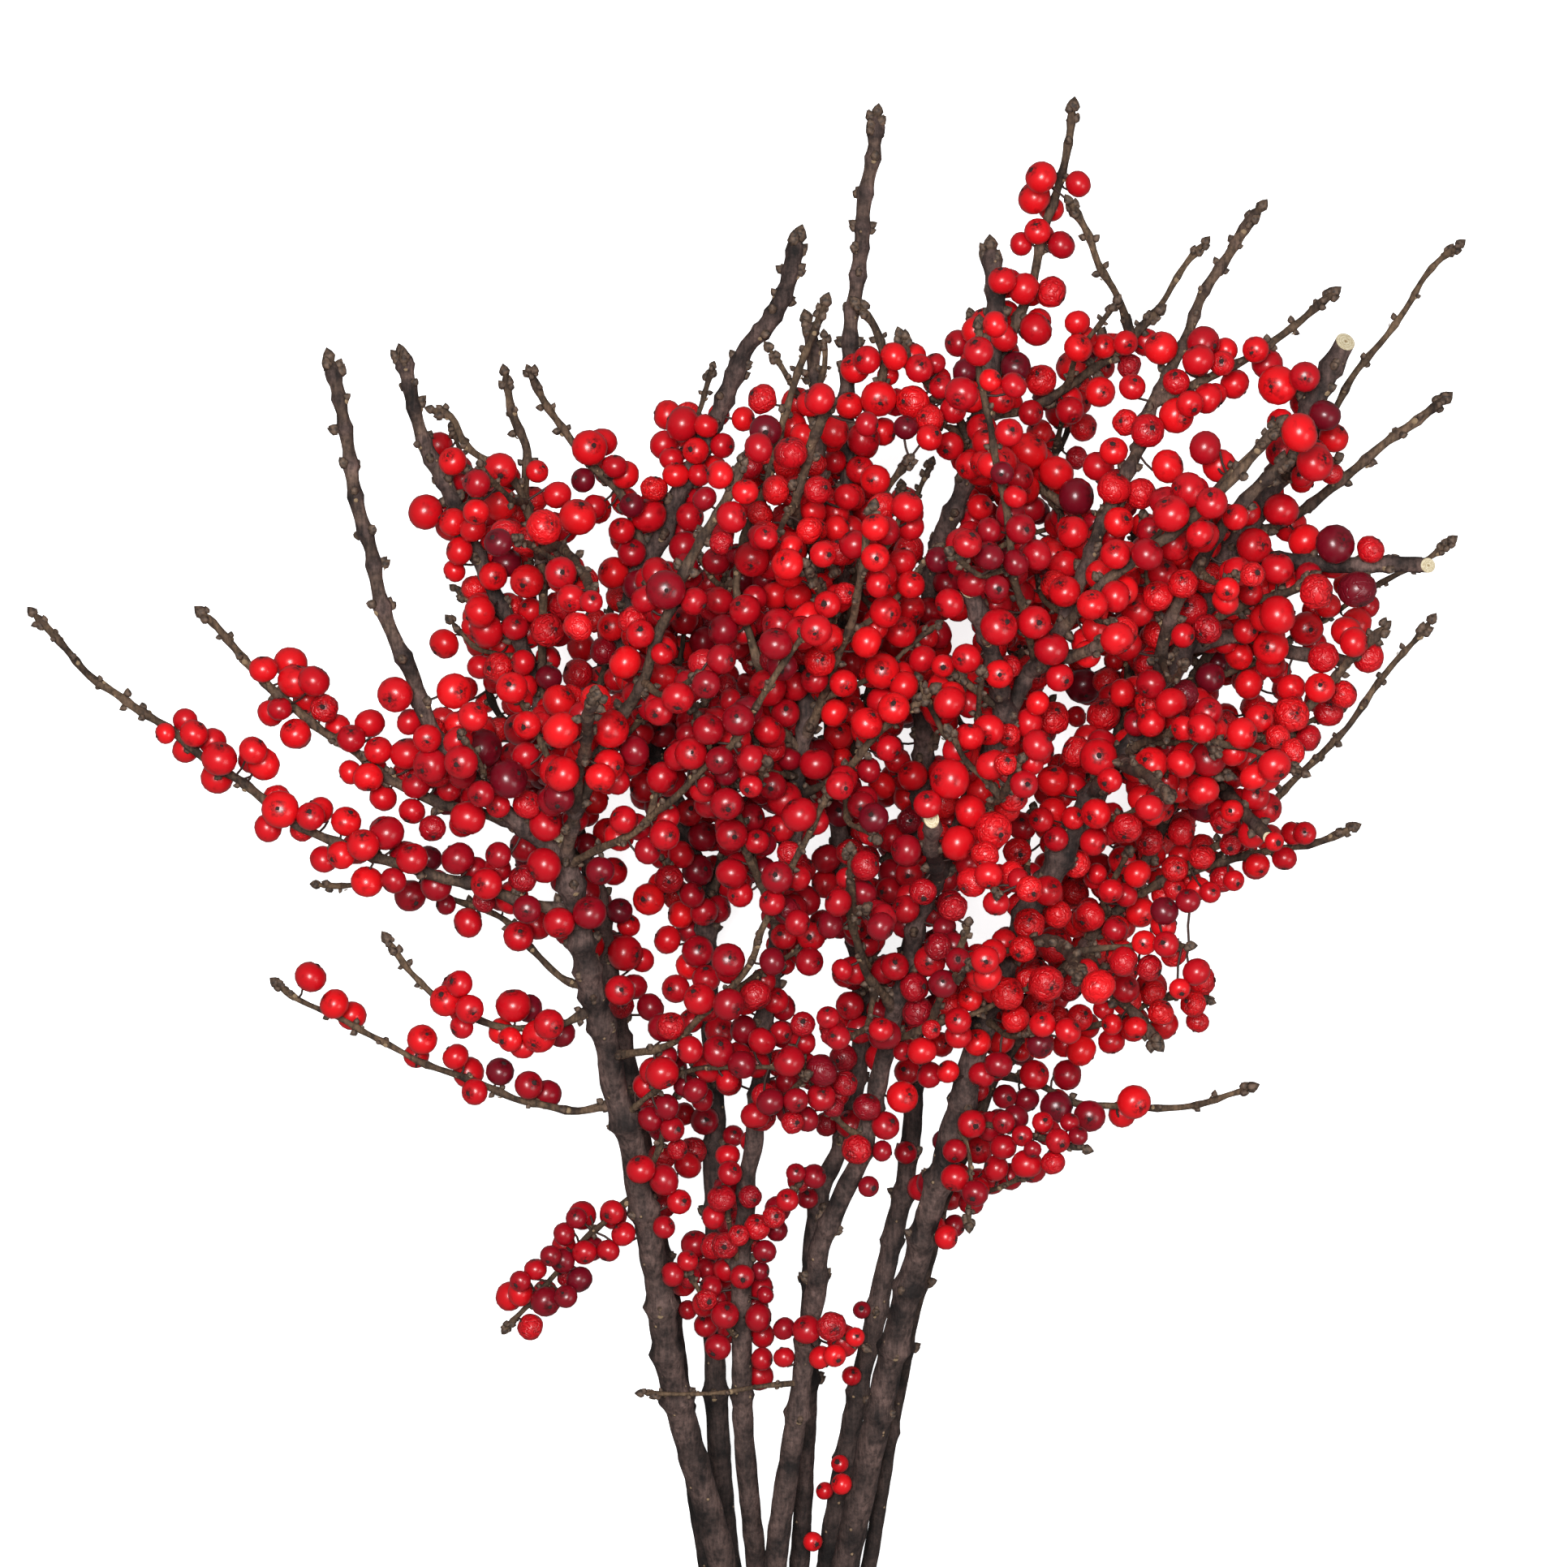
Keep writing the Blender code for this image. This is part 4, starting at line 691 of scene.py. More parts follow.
# Tubes along routes: each point carries its own thickness, and warts push the wall in and out.
tube_tree, given = new_tree("tube_along_route", [("Sides", "NodeSocketInt"), ("Warts", "NodeSocketFloat"),
                                                 ("Wart Length", "NodeSocketFloat"),
                                                 ("Material", "NodeSocketMaterial")])
route_curve = add(tube_tree, "GeometryNodeMeshToCurve", {"Mesh": given["Geometry"]})
thickness = add(tube_tree, "GeometryNodeInputNamedAttribute", {"Name": "thick"}, data_type="FLOAT")
ring = add(tube_tree, "GeometryNodeCurvePrimitiveCircle", {"Resolution": given["Sides"], "Radius": 1.0})
wall = add(tube_tree, "GeometryNodeCurveToMesh", {
    "Curve": route_curve.outputs[0], "Profile Curve": ring.outputs[0], "Scale": thickness.outputs[0],
    "Fill Caps": True})
spot = add(tube_tree, "GeometryNodeInputPosition")
per_metre = add(tube_tree, "ShaderNodeMath", {0: 1.0, 1: given["Wart Length"]}, operation="DIVIDE")
lumps = add(tube_tree, "ShaderNodeTexNoise", {"Vector": spot.outputs[0], "Scale": per_metre.outputs[0],
                                              "Detail": 2.0})
centred = add(tube_tree, "ShaderNodeMath", {0: lumps.outputs["Fac"], 1: 0.5}, operation="SUBTRACT")
push = add(tube_tree, "ShaderNodeMath", {0: centred.outputs[0], 1: given["Warts"]}, operation="MULTIPLY")
out = add(tube_tree, "ShaderNodeVectorMath", {0: add(tube_tree, "GeometryNodeInputNormal").outputs[0],
                                              "Scale": push.outputs[0]}, operation="SCALE")
lumpy = add(tube_tree, "GeometryNodeSetPosition", {"Geometry": wall.outputs[0], "Offset": out.outputs[0]})
soft = add(tube_tree, "GeometryNodeSetShadeSmooth", {"Geometry": lumpy.outputs[0]})
end_tree(tube_tree, soft.outputs[0], given["Material"])


def knots_of(twig, draw):
    """The points of a twig where a leaf grew: its knots, closer together towards the tip."""
    last = len(twig.spine) - 1
    found, at = [], draw.uniform(*FIRST_KNOT)
    start = STEM_KNOTS_FROM if twig.grown_on is None else 0.0
    while at < last * FINE_STEP - 3:
        if at > start:
            found.append(round(at / FINE_STEP))
        at += draw.uniform(*KNOT_SPACING) * (0.6 + 0.5 * (1 - at / (last * FINE_STEP)))
        if twig.grown_on is None and at < OLD_WOOD:
            at += draw.uniform(*OLD_SPACING)
    return found


def girth_along(twig, knots, natural_tip):
    """The wood's radius at each point, in millimetres, with its collar, knots and unevenness."""
    radii = []
    last = len(twig.spine) - 1
    slimming = TWIG_SLIMMING if twig.grown_on and not twig.cut else 1.0
    for i, (point, radius) in enumerate(zip(twig.spine, twig.radii)):
        swell = UNEVEN * noise.noise(point / UNEVEN_LENGTH)
        if twig.grown_on:
            swell += COLLAR * math.exp(-((i * FINE_STEP / COLLAR_LENGTH) ** 2))
        for knot in knots:
            if abs(i - knot) < KNOT_REACH:
                swell += KNOT_SWELL * math.exp(-(((i - knot) * FINE_STEP / KNOT_LENGTH) ** 2))
        if natural_tip:
            left = (last - i) * FINE_STEP
            swell += TIP_SWELL * math.exp(-(((left - TIP_SWELL_BACK) / TIP_SWELL_LENGTH) ** 2))
            if left < TIP_NARROWS_OVER:
                swell -= TIP_NARROWS * (1 - left / TIP_NARROWS_OVER)
        radii.append(radius * slimming * (1 + swell))
    return radii


def cut_at_tip(twig):
    """Whether the twig's tip was cut off. A stem's foot always is, and its tip only where it is thick."""
    return twig.cut and (twig.grown_on is not None or twig.radii[-1] >= LEAST_CUT_TIP)


draw = random.Random(SEED + 2)
knots = {}
for branch, twigs in wood.items():
    tubes = []
    for sides, chosen in ((STEM_SIDES, [t for t in twigs if t.radii[0] * 2 >= STEM_FROM]),
                          (TWIG_SIDES, [t for t in twigs if t.radii[0] * 2 < STEM_FROM])):
        points, edges, thick = [], [], []
        for twig in chosen:
            knots[branch, twig.name] = knots_of(twig, draw)
            first = len(points)
            points += twig.spine
            thick += [r * MM for r in girth_along(twig, knots[branch, twig.name], not cut_at_tip(twig))]
            edges += [(first + i, first + i + 1) for i in range(len(twig.spine) - 1)]
        if chosen:
            tube = make_points("bark", points, edges, thick=thick)
            tubes.append(grow_mesh(tube, tube_tree, Sides=sides, Warts=WARTS * 2 * MM,
                                   Wart_Length=WART_LENGTH * MM, Material=bark))
    piece = join("bark_" + branch, tubes)
    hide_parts(branch)
    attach(piece, "root")

# Buds and leaf scars
# At each knot a small scaly winter bud sits over the corky scar that the fallen leaf left. Buds are brown
# and pointed, grown fast to the twig, and crowd together at its tip.

# A bud's width is a share of its length. PAIRED is the share of knots with buds on both sides, and wood with
# a radius over THICK_TWIG bears more of them.
BUD_LENGTH = (1.9, 3.0)
BUD_WIDTH = 0.5
PAIRED = 0.65
THICK_TWIG = 1.6
SCAR_TURN = math.radians(137.5)
SCAR_WIDTH = (0.6, 1.05)
SCAR_DEPTH = 0.35
SCAR_RAGGED = 0.3
TIP_BUDS = 6

bud_scales = bpy.data.materials.new("bud_scales")
bud_scales.use_nodes = True
shade = bud_scales.node_tree
place_in = add(shade, "ShaderNodeTexCoord").outputs["Object"]
mottle = add(shade, "ShaderNodeTexNoise", {"Vector": place_in, "Scale": 1 / 0.0011, "Detail": 3.0})
browns = add(shade, "ShaderNodeValToRGB", {"Fac": mottle.outputs["Fac"]})
browns.color_ramp.elements[0].position, browns.color_ramp.elements[0].color = 0.35, colour("2C211A")
browns.color_ramp.elements[1].position, browns.color_ramp.elements[1].color = 0.68, colour("6C5646")
shade.links.new(browns.outputs[0], shade.nodes["Principled BSDF"].inputs["Base Color"])
shade.nodes["Principled BSDF"].inputs["Roughness"].default_value = 0.7


def plain_material(name, hexa, roughness):
    """A material of one colour all over."""
    made = bpy.data.materials.new(name)
    made.use_nodes = True
    surface = made.node_tree.nodes["Principled BSDF"]
    surface.inputs["Base Color"].default_value = colour(hexa)
    surface.inputs["Roughness"].default_value = roughness
    return made


scar_cork = plain_material("scar_cork", "8A7358", 0.85)


def turned_to(tree, direction_of):
    """The rotation that points a shape's Z along each point's own direction."""
    way = add(tree, "GeometryNodeInputNamedAttribute", {"Name": direction_of}, data_type="FLOAT_VECTOR")
    return add(tree, "FunctionNodeAlignRotationToVector", {"Vector": way.outputs[0]}, axis="Z").outputs[0]


# A bud: six sides, widest a third of the way up, pointed at its tip.
bud_tree, given = new_tree("bud_at_knot", [("Width", "NodeSocketFloat"), ("Material", "NodeSocketMaterial")])
cone = add(bud_tree, "GeometryNodeMeshCone", {"Vertices": 6, "Side Segments": 3, "Radius Top": 1.0,
                                              "Radius Bottom": 1.0, "Depth": 1.0}, fill_type="NGON")
spot = add(bud_tree, "GeometryNodeInputPosition")
height = add(bud_tree, "ShaderNodeSeparateXYZ", {0: spot.outputs[0]})
profile = add(bud_tree, "ShaderNodeFloatCurve", {"Value": height.outputs[2]})
curve = profile.mapping.curves[0]
curve.points[0].location, curve.points[1].location = (0.0, 0.7), (1.0, 0.06)
curve.points.new(0.3, 1.0)
curve.points.new(0.7, 0.62)
profile.mapping.update()
wide = add(bud_tree, "ShaderNodeMath", {0: profile.outputs[0], 1: given["Width"]}, operation="MULTIPLY")
flat = add(bud_tree, "ShaderNodeCombineXYZ", {0: wide.outputs[0], 1: wide.outputs[0], 2: 1.0})
shaped = add(bud_tree, "ShaderNodeVectorMath", {0: spot.outputs[0], 1: flat.outputs[0]}, operation="MULTIPLY")
bud = add(bud_tree, "GeometryNodeSetPosition", {"Geometry": cone.outputs[0], "Position": shaped.outputs[0]})
bud = add(bud_tree, "GeometryNodeSetShadeSmooth", {"Geometry": bud.outputs[0]})
length = add(bud_tree, "GeometryNodeInputNamedAttribute", {"Name": "size"}, data_type="FLOAT")
placed = add(bud_tree, "GeometryNodeInstanceOnPoints", {
    "Points": given["Geometry"], "Instance": bud.outputs[0], "Rotation": turned_to(bud_tree, "outward"),
    "Scale": length.outputs[0]})
end_tree(bud_tree, placed.outputs[0], given["Material"])

# A scar, and later a berry's dried flower end: a low dome with a ragged rim.
disc_tree, given = new_tree("low_dome_on_skin", [("Depth", "NodeSocketFloat"), ("Ragged", "NodeSocketFloat"),
                                                 ("Material", "NodeSocketMaterial")])
dome = add(disc_tree, "GeometryNodeMeshCone", {
    "Vertices": 7, "Side Segments": 1, "Radius Top": 0.5, "Radius Bottom": 1.0, "Depth": given["Depth"]},
    fill_type="NGON")
width = add(disc_tree, "GeometryNodeInputNamedAttribute", {"Name": "size"}, data_type="FLOAT")
placed = add(disc_tree, "GeometryNodeInstanceOnPoints", {
    "Points": given["Geometry"], "Instance": dome.outputs[0], "Rotation": turned_to(disc_tree, "outward"),
    "Scale": width.outputs[0]})
real = add(disc_tree, "GeometryNodeRealizeInstances", {"Geometry": placed.outputs[0]})
rim = add(disc_tree, "ShaderNodeTexNoise", {"Vector": add(disc_tree, "GeometryNodeInputPosition").outputs[0],
                                            "Scale": 1 / 0.0006, "Detail": 0.0})
torn = add(disc_tree, "ShaderNodeVectorMath", {0: rim.outputs["Color"], 1: (0.5, 0.5, 0.5)},
           operation="SUBTRACT")
torn = add(disc_tree, "ShaderNodeVectorMath", {0: torn.outputs[0], "Scale": given["Ragged"]},
           operation="SCALE")
torn = add(disc_tree, "GeometryNodeSetPosition", {"Geometry": real.outputs[0], "Offset": torn.outputs[0]})
end_tree(disc_tree, torn.outputs[0], given["Material"])

draw = random.Random(SEED + 3)
for branch, twigs in wood.items():
    buds, ways, sizes = [], [], []
    scars, faces, widths = [], [], []
    for twig in twigs:
        turn = draw.uniform(0, math.tau)
        last = len(twig.spine) - 1
        for knot in knots[branch, twig.name]:
            along = direction(twig.spine, knot)
            side = Matrix.Rotation(turn, 3, along) @ along.orthogonal().normalized()
            radius = twig.radii[knot] * (TWIG_SLIMMING + KNOT_SWELL)
            for facing in (side, -side) if draw.random() < PAIRED else (side,):
                for _ in range(2 if twig.radii[knot] > THICK_TWIG else 1):
                    size = draw.uniform(*BUD_LENGTH) * min(1.1, 0.35 + 0.4 * twig.radii[knot])
                    buds.append(twig.spine[knot] + facing * radius * 0.8 + along * draw.uniform(-1.0, 1.2))
                    way = facing * draw.uniform(0.7, 1.6) + along * draw.uniform(0.4, 1.0)
                    ways.append(way.normalized())
                    sizes.append(size * MM)
            width = draw.uniform(*SCAR_WIDTH) * (0.7 + 0.15 * twig.radii[knot])
            scars.append(twig.spine[knot] + side * (radius * 0.98) - along * 1.2)
            faces.append((side - along * 0.25).normalized())
            widths.append(width * MM)
            turn += SCAR_TURN
        if not cut_at_tip(twig):
            ahead = direction(twig.spine, last)
            for n in range(TIP_BUDS + (2 if twig.radii[-1] > THICK_TWIG else 0)):
                side = Matrix.Rotation(turn + n * 2.1, 3, ahead) @ ahead.orthogonal().normalized()
                back = draw.uniform(0, 4.5) * (0 if n == 0 else 1)
                aside = side * twig.radii[last] * (0.0 if n == 0 else 0.75)
                buds.append(twig.spine[last] - ahead * (0.6 + back) + aside)
                ways.append((ahead + side * (0.0 if n == 0 else draw.uniform(0.25, 0.8))).normalized())
                length = draw.uniform(*BUD_LENGTH) * (0.7 + 0.26 * twig.radii[last])
                sizes.append(length * (1.4 if n == 0 else 1) * MM)
    piece = make_points("buds_" + branch, buds, outward=ways, size=sizes)
    piece = grow_mesh(piece, bud_tree, Width=BUD_WIDTH, Material=bud_scales)
    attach(piece, "root")
    piece = make_points("scars_" + branch, scars, outward=faces, size=widths)
    piece = grow_mesh(piece, disc_tree, Depth=SCAR_DEPTH, Ragged=SCAR_RAGGED * MM, Material=scar_cork)
    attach(piece, "root")

# Cut ends
# Where a stem or a side twig was cut with secateurs its pale wood shows, a clean sloping face inside a ring
# of bark, with a brown pith dot and faint rings.

# The pale face is this share of the radius and stands this proud. Stems were cut nearly square, twigs aslant.
CUT_SHARE = 0.84
CUT_PROUD = 0.12
CUT_SIDES = 18
STEM_CUT_SLOPE = 0.12
TIP_CUT_SLOPE = 0.9

cut_wood = bpy.data.materials.new("cut_wood")
cut_wood.use_nodes = True
shade = cut_wood.node_tree
from_pith = add(shade, "ShaderNodeAttribute", attribute_name="from_pith").outputs["Fac"]
place_in = add(shade, "ShaderNodeTexCoord").outputs["Object"]
fibres = add(shade, "ShaderNodeTexNoise", {"Vector": place_in, "Scale": 1 / 0.0006, "Detail": 3.0})
rings = add(shade, "ShaderNodeMath", {0: from_pith, 1: 26.0}, operation="MULTIPLY")
rings = add(shade, "ShaderNodeMath", {0: rings.outputs[0]}, operation="SINE")
tone = add(shade, "ShaderNodeMath", {0: rings.outputs[0], 1: 0.12, 2: fibres.outputs["Fac"]},
           operation="MULTIPLY_ADD")
pale = add(shade, "ShaderNodeValToRGB", {"Fac": tone.outputs[0]})
pale.color_ramp.elements[0].position, pale.color_ramp.elements[0].color = 0.25, colour("B9A57C")
pale.color_ramp.elements[1].position, pale.color_ramp.elements[1].color = 0.75, colour("E6DCC0")
pith = add(shade, "ShaderNodeMapRange", {0: from_pith, 1: 0.16, 2: 0.08})
dotted = add(shade, "ShaderNodeMix", {0: pith.outputs[0], 6: pale.outputs[0], 7: colour("8C7146")},
             data_type="RGBA")
shade.links.new(dotted.outputs[2], shade.nodes["Principled BSDF"].inputs["Base Color"])
shade.nodes["Principled BSDF"].inputs["Roughness"].default_value = 0.8


def cut_end(mesh, centre, ahead, radius, slope):
    """The wood past a tube's end: a wall of bark, and a cut face that leans back to show from above."""
    side = ahead.orthogonal().normalized()
    upward = (Vector((0, 0, 1)) - ahead * ahead.z).normalized()
    loops = []
    for share, proud, leans in ((0.97, -0.3, 0.0), (0.97, 0.0, 1.0), (CUT_SHARE, CUT_PROUD, 1.0),
                                (CUT_SHARE * 0.55, CUT_PROUD * 1.2, 1.0)):
        loop = []
        for k in range(CUT_SIDES):
            spoke = Matrix.Rotation(math.tau * k / CUT_SIDES, 3, ahead) @ side
            reach = proud + leans * slope * radius * (1.0 - share * spoke.dot(upward))
            vertex = mesh.verts.new((centre + spoke * radius * share + ahead * reach) * MM)
            vertex[mesh.verts.layers.float["from_pith"]] = share
            vertex[mesh.verts.layers.float["thick"]] = radius * MM
            loop.append(vertex)
        loops.append(loop)
    middle = mesh.verts.new((centre + ahead * (CUT_PROUD + slope * radius)) * MM)
    for outer, inner in zip(loops, loops[1:]):
        for k in range(CUT_SIDES):
            after = (k + 1) % CUT_SIDES
            face = mesh.faces.new((outer[k], outer[after], inner[after], inner[k]))
            face.material_index = 1 if outer is loops[0] else 0
    for k in range(CUT_SIDES):
        mesh.faces.new((loops[-1][k], loops[-1][(k + 1) % CUT_SIDES], middle))
    mesh.faces.new(list(reversed(loops[0]))).material_index = 1


for branch, twigs in wood.items():
    mesh = bmesh.new()
    mesh.verts.layers.float.new("from_pith")
    mesh.verts.layers.float.new("thick")
    for twig in twigs:
        if twig.grown_on is None:
            cut_end(mesh, twig.spine[0], -direction(twig.spine, 0), twig.radii[0], STEM_CUT_SLOPE)
        if cut_at_tip(twig):
            cut_end(mesh, twig.spine[-1], direction(twig.spine, len(twig.spine) - 1), twig.radii[-1],
                    TIP_CUT_SLOPE)
    bmesh.ops.recalc_face_normals(mesh, faces=mesh.faces)
    data = bpy.data.meshes.new("cuts_" + branch)
    mesh.to_mesh(data)
    mesh.free()
    data.materials.append(cut_wood)
    data.materials.append(bark)
    piece = bpy.data.objects.new("cuts_" + branch, data)
    bpy.context.scene.collection.objects.link(piece)
    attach(piece, "root")

# Berries read from the photograph, one by one: where each is seen and how wide it looks. They grow
# first.
SEEN_BERRIES = (
    # along the left edge
    (-183, 246.5, 6), (-174.5, 246.5, 8), (-167, 239, 10), (-163, 245, 9), (-154, 237.5, 9.5),
    (-157, 241.5, 8), (-149, 224, 10.5), (-140, 222, 8), (-129.5, 220.5, 8.5), (-131, 210.5, 8),
    (-154, 265.5, 8), (-144.5, 262, 10), (-139, 262, 9), (-136, 254, 8), (-128, 245, 8), (-115, 258, 10),
    (-97.5, 259, 10), (-92, 251.5, 8.5), (-122.5, 249.5, 8.5), (-120, 241.5, 8), (-111.5, 240.5, 9.5),
    (-105.5, 245, 8), (-104.5, 237, 10), (-95.5, 238, 9.5), (-89, 242, 11), (-81.5, 233, 11),
    (-123, 233.5, 8.5), (-99, 230, 7), (-93.5, 221.5, 10), (-110, 223.5, 7.5), (-104, 218.5, 7.5),
    (-117.5, 217, 10), (-124.5, 213.5, 9), (-110, 209.5, 9), (-105, 209.5, 7.5), (-96.5, 209.5, 9.5),
    (-115.5, 203, 7.5), (-110.5, 198.5, 9), (-100, 196, 6), (-93.5, 190.5, 8.5), (-88, 202, 9),
    (-84.5, 210.5, 7.5), (-76, 225.5, 8), (-70.5, 219.5, 9.5), (-77, 213, 8.5), (-71, 207.5, 10),
    (-78.5, 186.5, 8.5), (-76, 194.5, 8), (-66.5, 190.5, 9), (-140, 174.5, 9), (-133, 166.5, 8.5),
    (-107, 156, 8.5), (-91.5, 140.5, 7.5), (-84, 146.5, 8), (-75.5, 142.5, 8), (-96, 172.5, 7.5),
    (-100, 167.5, 9), (-93, 165, 8), (-96, 162, 8), (-80, 166, 10), (-81, 156, 7), (-72.5, 157, 9.5),
    (-69.5, 160.5, 8.5), (-65, 98.5, 6.5), (-69, 92, 6), (-65.5, 90.5, 7), (-59, 93, 7), (-73.5, 88, 6.5),
    (-78, 84.5, 6), (-78, 81, 7.5), (-60.5, 85, 7.5), (-64.5, 80, 6.5), (-70.5, 78.5, 8.5),
    (-75, 71, 7.5), (-52, 93.5, 6.5), (-47.5, 98.5, 7),
    # the left of the crown
    (-98, 327, 8), (-106, 312, 10), (-98, 309, 8), (-92, 307, 7.5), (-91, 312, 7.5), (-96, 300.5, 8),
    (-84, 324.5, 9.5), (-84, 314.5, 10), (-74.5, 315.5, 8.5), (-67, 317, 8), (-73, 324, 6.5),
    (-61, 310.5, 10.5), (-56, 313.5, 7), (-71, 307.5, 10), (-69, 300, 10.5), (-76.5, 303.5, 8),
    (-84.5, 303, 8), (-82, 297, 8.5), (-86, 293, 8), (-76, 291.5, 9.5), (-66, 294, 9), (-57.5, 331, 10),
    (-47, 323, 8), (-50, 325.5, 7), (-38.5, 319, 7.5), (-45, 314, 7), (-40, 311, 10), (-41.5, 308, 8),
    (-48, 306.5, 7.5), (-45, 300, 8), (-30, 338, 10), (-23, 337.5, 7), (-32, 323, 7.5), (-25, 323, 6.5),
    (-23.5, 316, 7), (-90, 282.5, 9), (-88, 277, 10), (-100.5, 273, 8.5), (-89.5, 273, 8.5),
    (-84.5, 266, 8.5), (-79.5, 278, 7.5), (-75, 283, 7), (-80.5, 260, 9), (-76, 249, 8), (-70, 277, 9.5),
    (-63, 286.5, 8), (-61, 278, 8.5), (-60, 272, 8.5), (-57, 285.5, 6.5), (-56, 280, 7), (-51, 278, 8),
    (-53.5, 271, 8), (-48.5, 286.5, 8), (-50.5, 294, 9), (-42.5, 276, 8), (-47, 267.5, 9.5),
    (-35, 289, 11), (-37.5, 294, 9), (-26.5, 285.5, 8), (-69.5, 263, 7.5), (-61, 264, 9), (-36, 270, 6.5),
    (-36, 263.5, 9), (-43.5, 258.5, 8.5), (-51.5, 248, 11), (-66, 247.5, 10.5), (-66.5, 256, 9.5),
    (-59.5, 243.5, 7.5), (-65.5, 234.5, 10), (-56, 227, 8.5), (-47.5, 221, 8), (-58, 213.5, 7),
    (-57.5, 193.5, 9.5), (-59, 199.5, 9), (-40, 197.5, 9), (-37, 253, 8), (-36, 246.5, 8),
    (-36, 233.5, 9), (-41.5, 230.5, 8.5), (-47, 181.5, 10), (-42, 179.5, 7), (-48.5, 170.5, 8.5),
    # the middle of the crown
    (-6.5, 345.5, 8.5), (-12, 339.5, 7), (-5.5, 336, 9), (-7.5, 331, 8.5), (-19, 323, 8),
    (-10, 325.5, 7.5), (-11.5, 318, 7.5), (2, 329.5, 9.5), (1, 326, 8.5), (5.5, 334.5, 7.5),
    (10.5, 345.5, 9), (21, 354.5, 8.5), (24.5, 357, 8), (28, 345.5, 10), (32.5, 358, 8), (40, 354.5, 8),
    (38, 344.5, 9.5), (43, 339.5, 8), (43, 334, 7.5), (49, 331.5, 8), (36, 337, 7), (46.5, 349, 7),
    (24.5, 338, 7), (23.5, 333.5, 9.5), (8.5, 326, 7.5), (15, 327, 7), (22.5, 324.5, 8), (27, 321.5, 8.5),
    (-2.5, 318.5, 8.5), (10, 318.5, 8), (-7, 311.5, 7.5), (-15.5, 310.5, 9), (1.5, 310, 10),
    (7.5, 306.5, 8), (15.5, 307, 8), (27, 307.5, 8), (36.5, 313.5, 9), (-5.5, 304.5, 7), (-18.5, 303, 7),
    (-20, 297.5, 8), (-9.5, 298, 10), (1, 296.5, 9), (11.5, 299.5, 7.5), (27, 298.5, 8), (35, 297.5, 8),
    (21, 294.5, 8), (-22.5, 291, 7.5), (-12, 292.5, 8.5), (11, 290.5, 6.5), (-2.5, 287.5, 8.5),
    (4, 287, 8), (28, 290.5, 7.5), (37.5, 290.5, 8), (-11.5, 283, 9), (24, 286, 7), (30, 282.5, 9),
    (37.5, 283.5, 8), (19.5, 280, 10), (9.5, 277, 9), (-2.5, 273, 9.5), (-18, 277, 9), (-29.5, 280, 8),
    (24.5, 273.5, 9), (34.5, 276.5, 9), (32.5, 272.5, 8), (41, 268.5, 8), (42, 275, 7),
    (-18.5, 268.5, 8.5), (10.5, 268, 9), (20, 267.5, 9), (-9, 267, 6.5), (29, 265, 10), (47, 266.5, 6.5),
    (35.5, 260.5, 8.5), (49, 255.5, 9.5), (-5, 260, 10.5), (-11, 261, 7), (3, 260.5, 8.5), (9, 262.5, 8),
    (-23, 261, 8), (-17, 260.5, 7), (-16, 256.5, 6.5), (-13.5, 250.5, 9), (0.5, 252.5, 8),
    (7.5, 252.5, 8.5), (15, 252.5, 8), (32.5, 254, 9), (24.5, 249.5, 9), (16, 246, 8), (-27.5, 240.5, 9),
    (-19, 238.5, 8), (-5, 247.5, 8), (-10, 239, 8), (1.5, 239, 7), (9.5, 237.5, 9.5), (17, 239, 6.5),
    (31, 242, 7.5), (33.5, 238.5, 7.5), (16.5, 231, 8), (29, 231, 8), (38, 234, 8.5), (49, 233, 11.5),
    (-3.5, 231, 8), (-23, 231, 5.5), (8, 229, 8.5), (4.5, 222.5, 10), (36.5, 227.5, 8), (42.5, 225.5, 8),
    (54.5, 223.5, 9), (-28, 223, 7.5), (-10, 221.5, 8.5), (16.5, 223, 8), (26.5, 221.5, 8.5),
    (37, 220.5, 7), (-24, 216, 8.5), (-15.5, 216.5, 9), (-8, 214.5, 7), (-1, 218.5, 8), (45.5, 217, 7),
    (51.5, 214, 10), (-25.5, 206, 9), (-34, 203.5, 8), (-15.5, 205, 9), (-6.5, 206, 8), (-2, 204, 9),
    (12.5, 209.5, 8.5), (19.5, 211.5, 8), (24, 207.5, 8.5), (12, 202, 8), (37, 205, 8), (47.5, 204, 9),
    (-3.5, 196.5, 7.5), (16, 196.5, 8), (23.5, 199.5, 7.5), (31, 200, 7.5), (36, 194.5, 8),
    (43, 193.5, 8), (50, 195, 8), (47.5, 189, 7), (-30.5, 193, 8), (-13, 199, 7.5), (4, 190.5, 7.5),
    (0, 186.5, 7.5), (8, 186.5, 8), (21.5, 189.5, 8), (24.5, 184, 7), (-34.5, 185.5, 8), (-25.5, 182, 9),
    (-34, 179, 7), (-16.5, 179.5, 9.5), (7.5, 179, 8), (45.5, 183.5, 8), (51.5, 179.5, 7), (-23, 174, 8),
    # the top and the right of the crown
    (76, 411, 9), (74, 405, 9.5), (87, 409, 7.5), (75, 395, 7.5), (82, 391, 8), (79, 377, 9),
    (71, 378, 9), (64.5, 380.5, 8), (74.5, 366, 9.5), (62.5, 367.5, 7.5), (57.5, 359.5, 8.5),
    (53.5, 353.5, 7.5), (52.5, 347, 9.5), (61, 351, 6.5), (68.5, 355, 8.5), (68, 349.5, 7.5),
    (76, 351, 9), (77, 346, 7.5), (87, 360.5, 8), (85, 355, 9), (94.5, 361, 7), (94, 355, 7.5),
    (101, 362, 7), (103, 349, 7.5), (93.5, 347.5, 8.5), (84.5, 342, 8), (111.5, 360.5, 9.5),
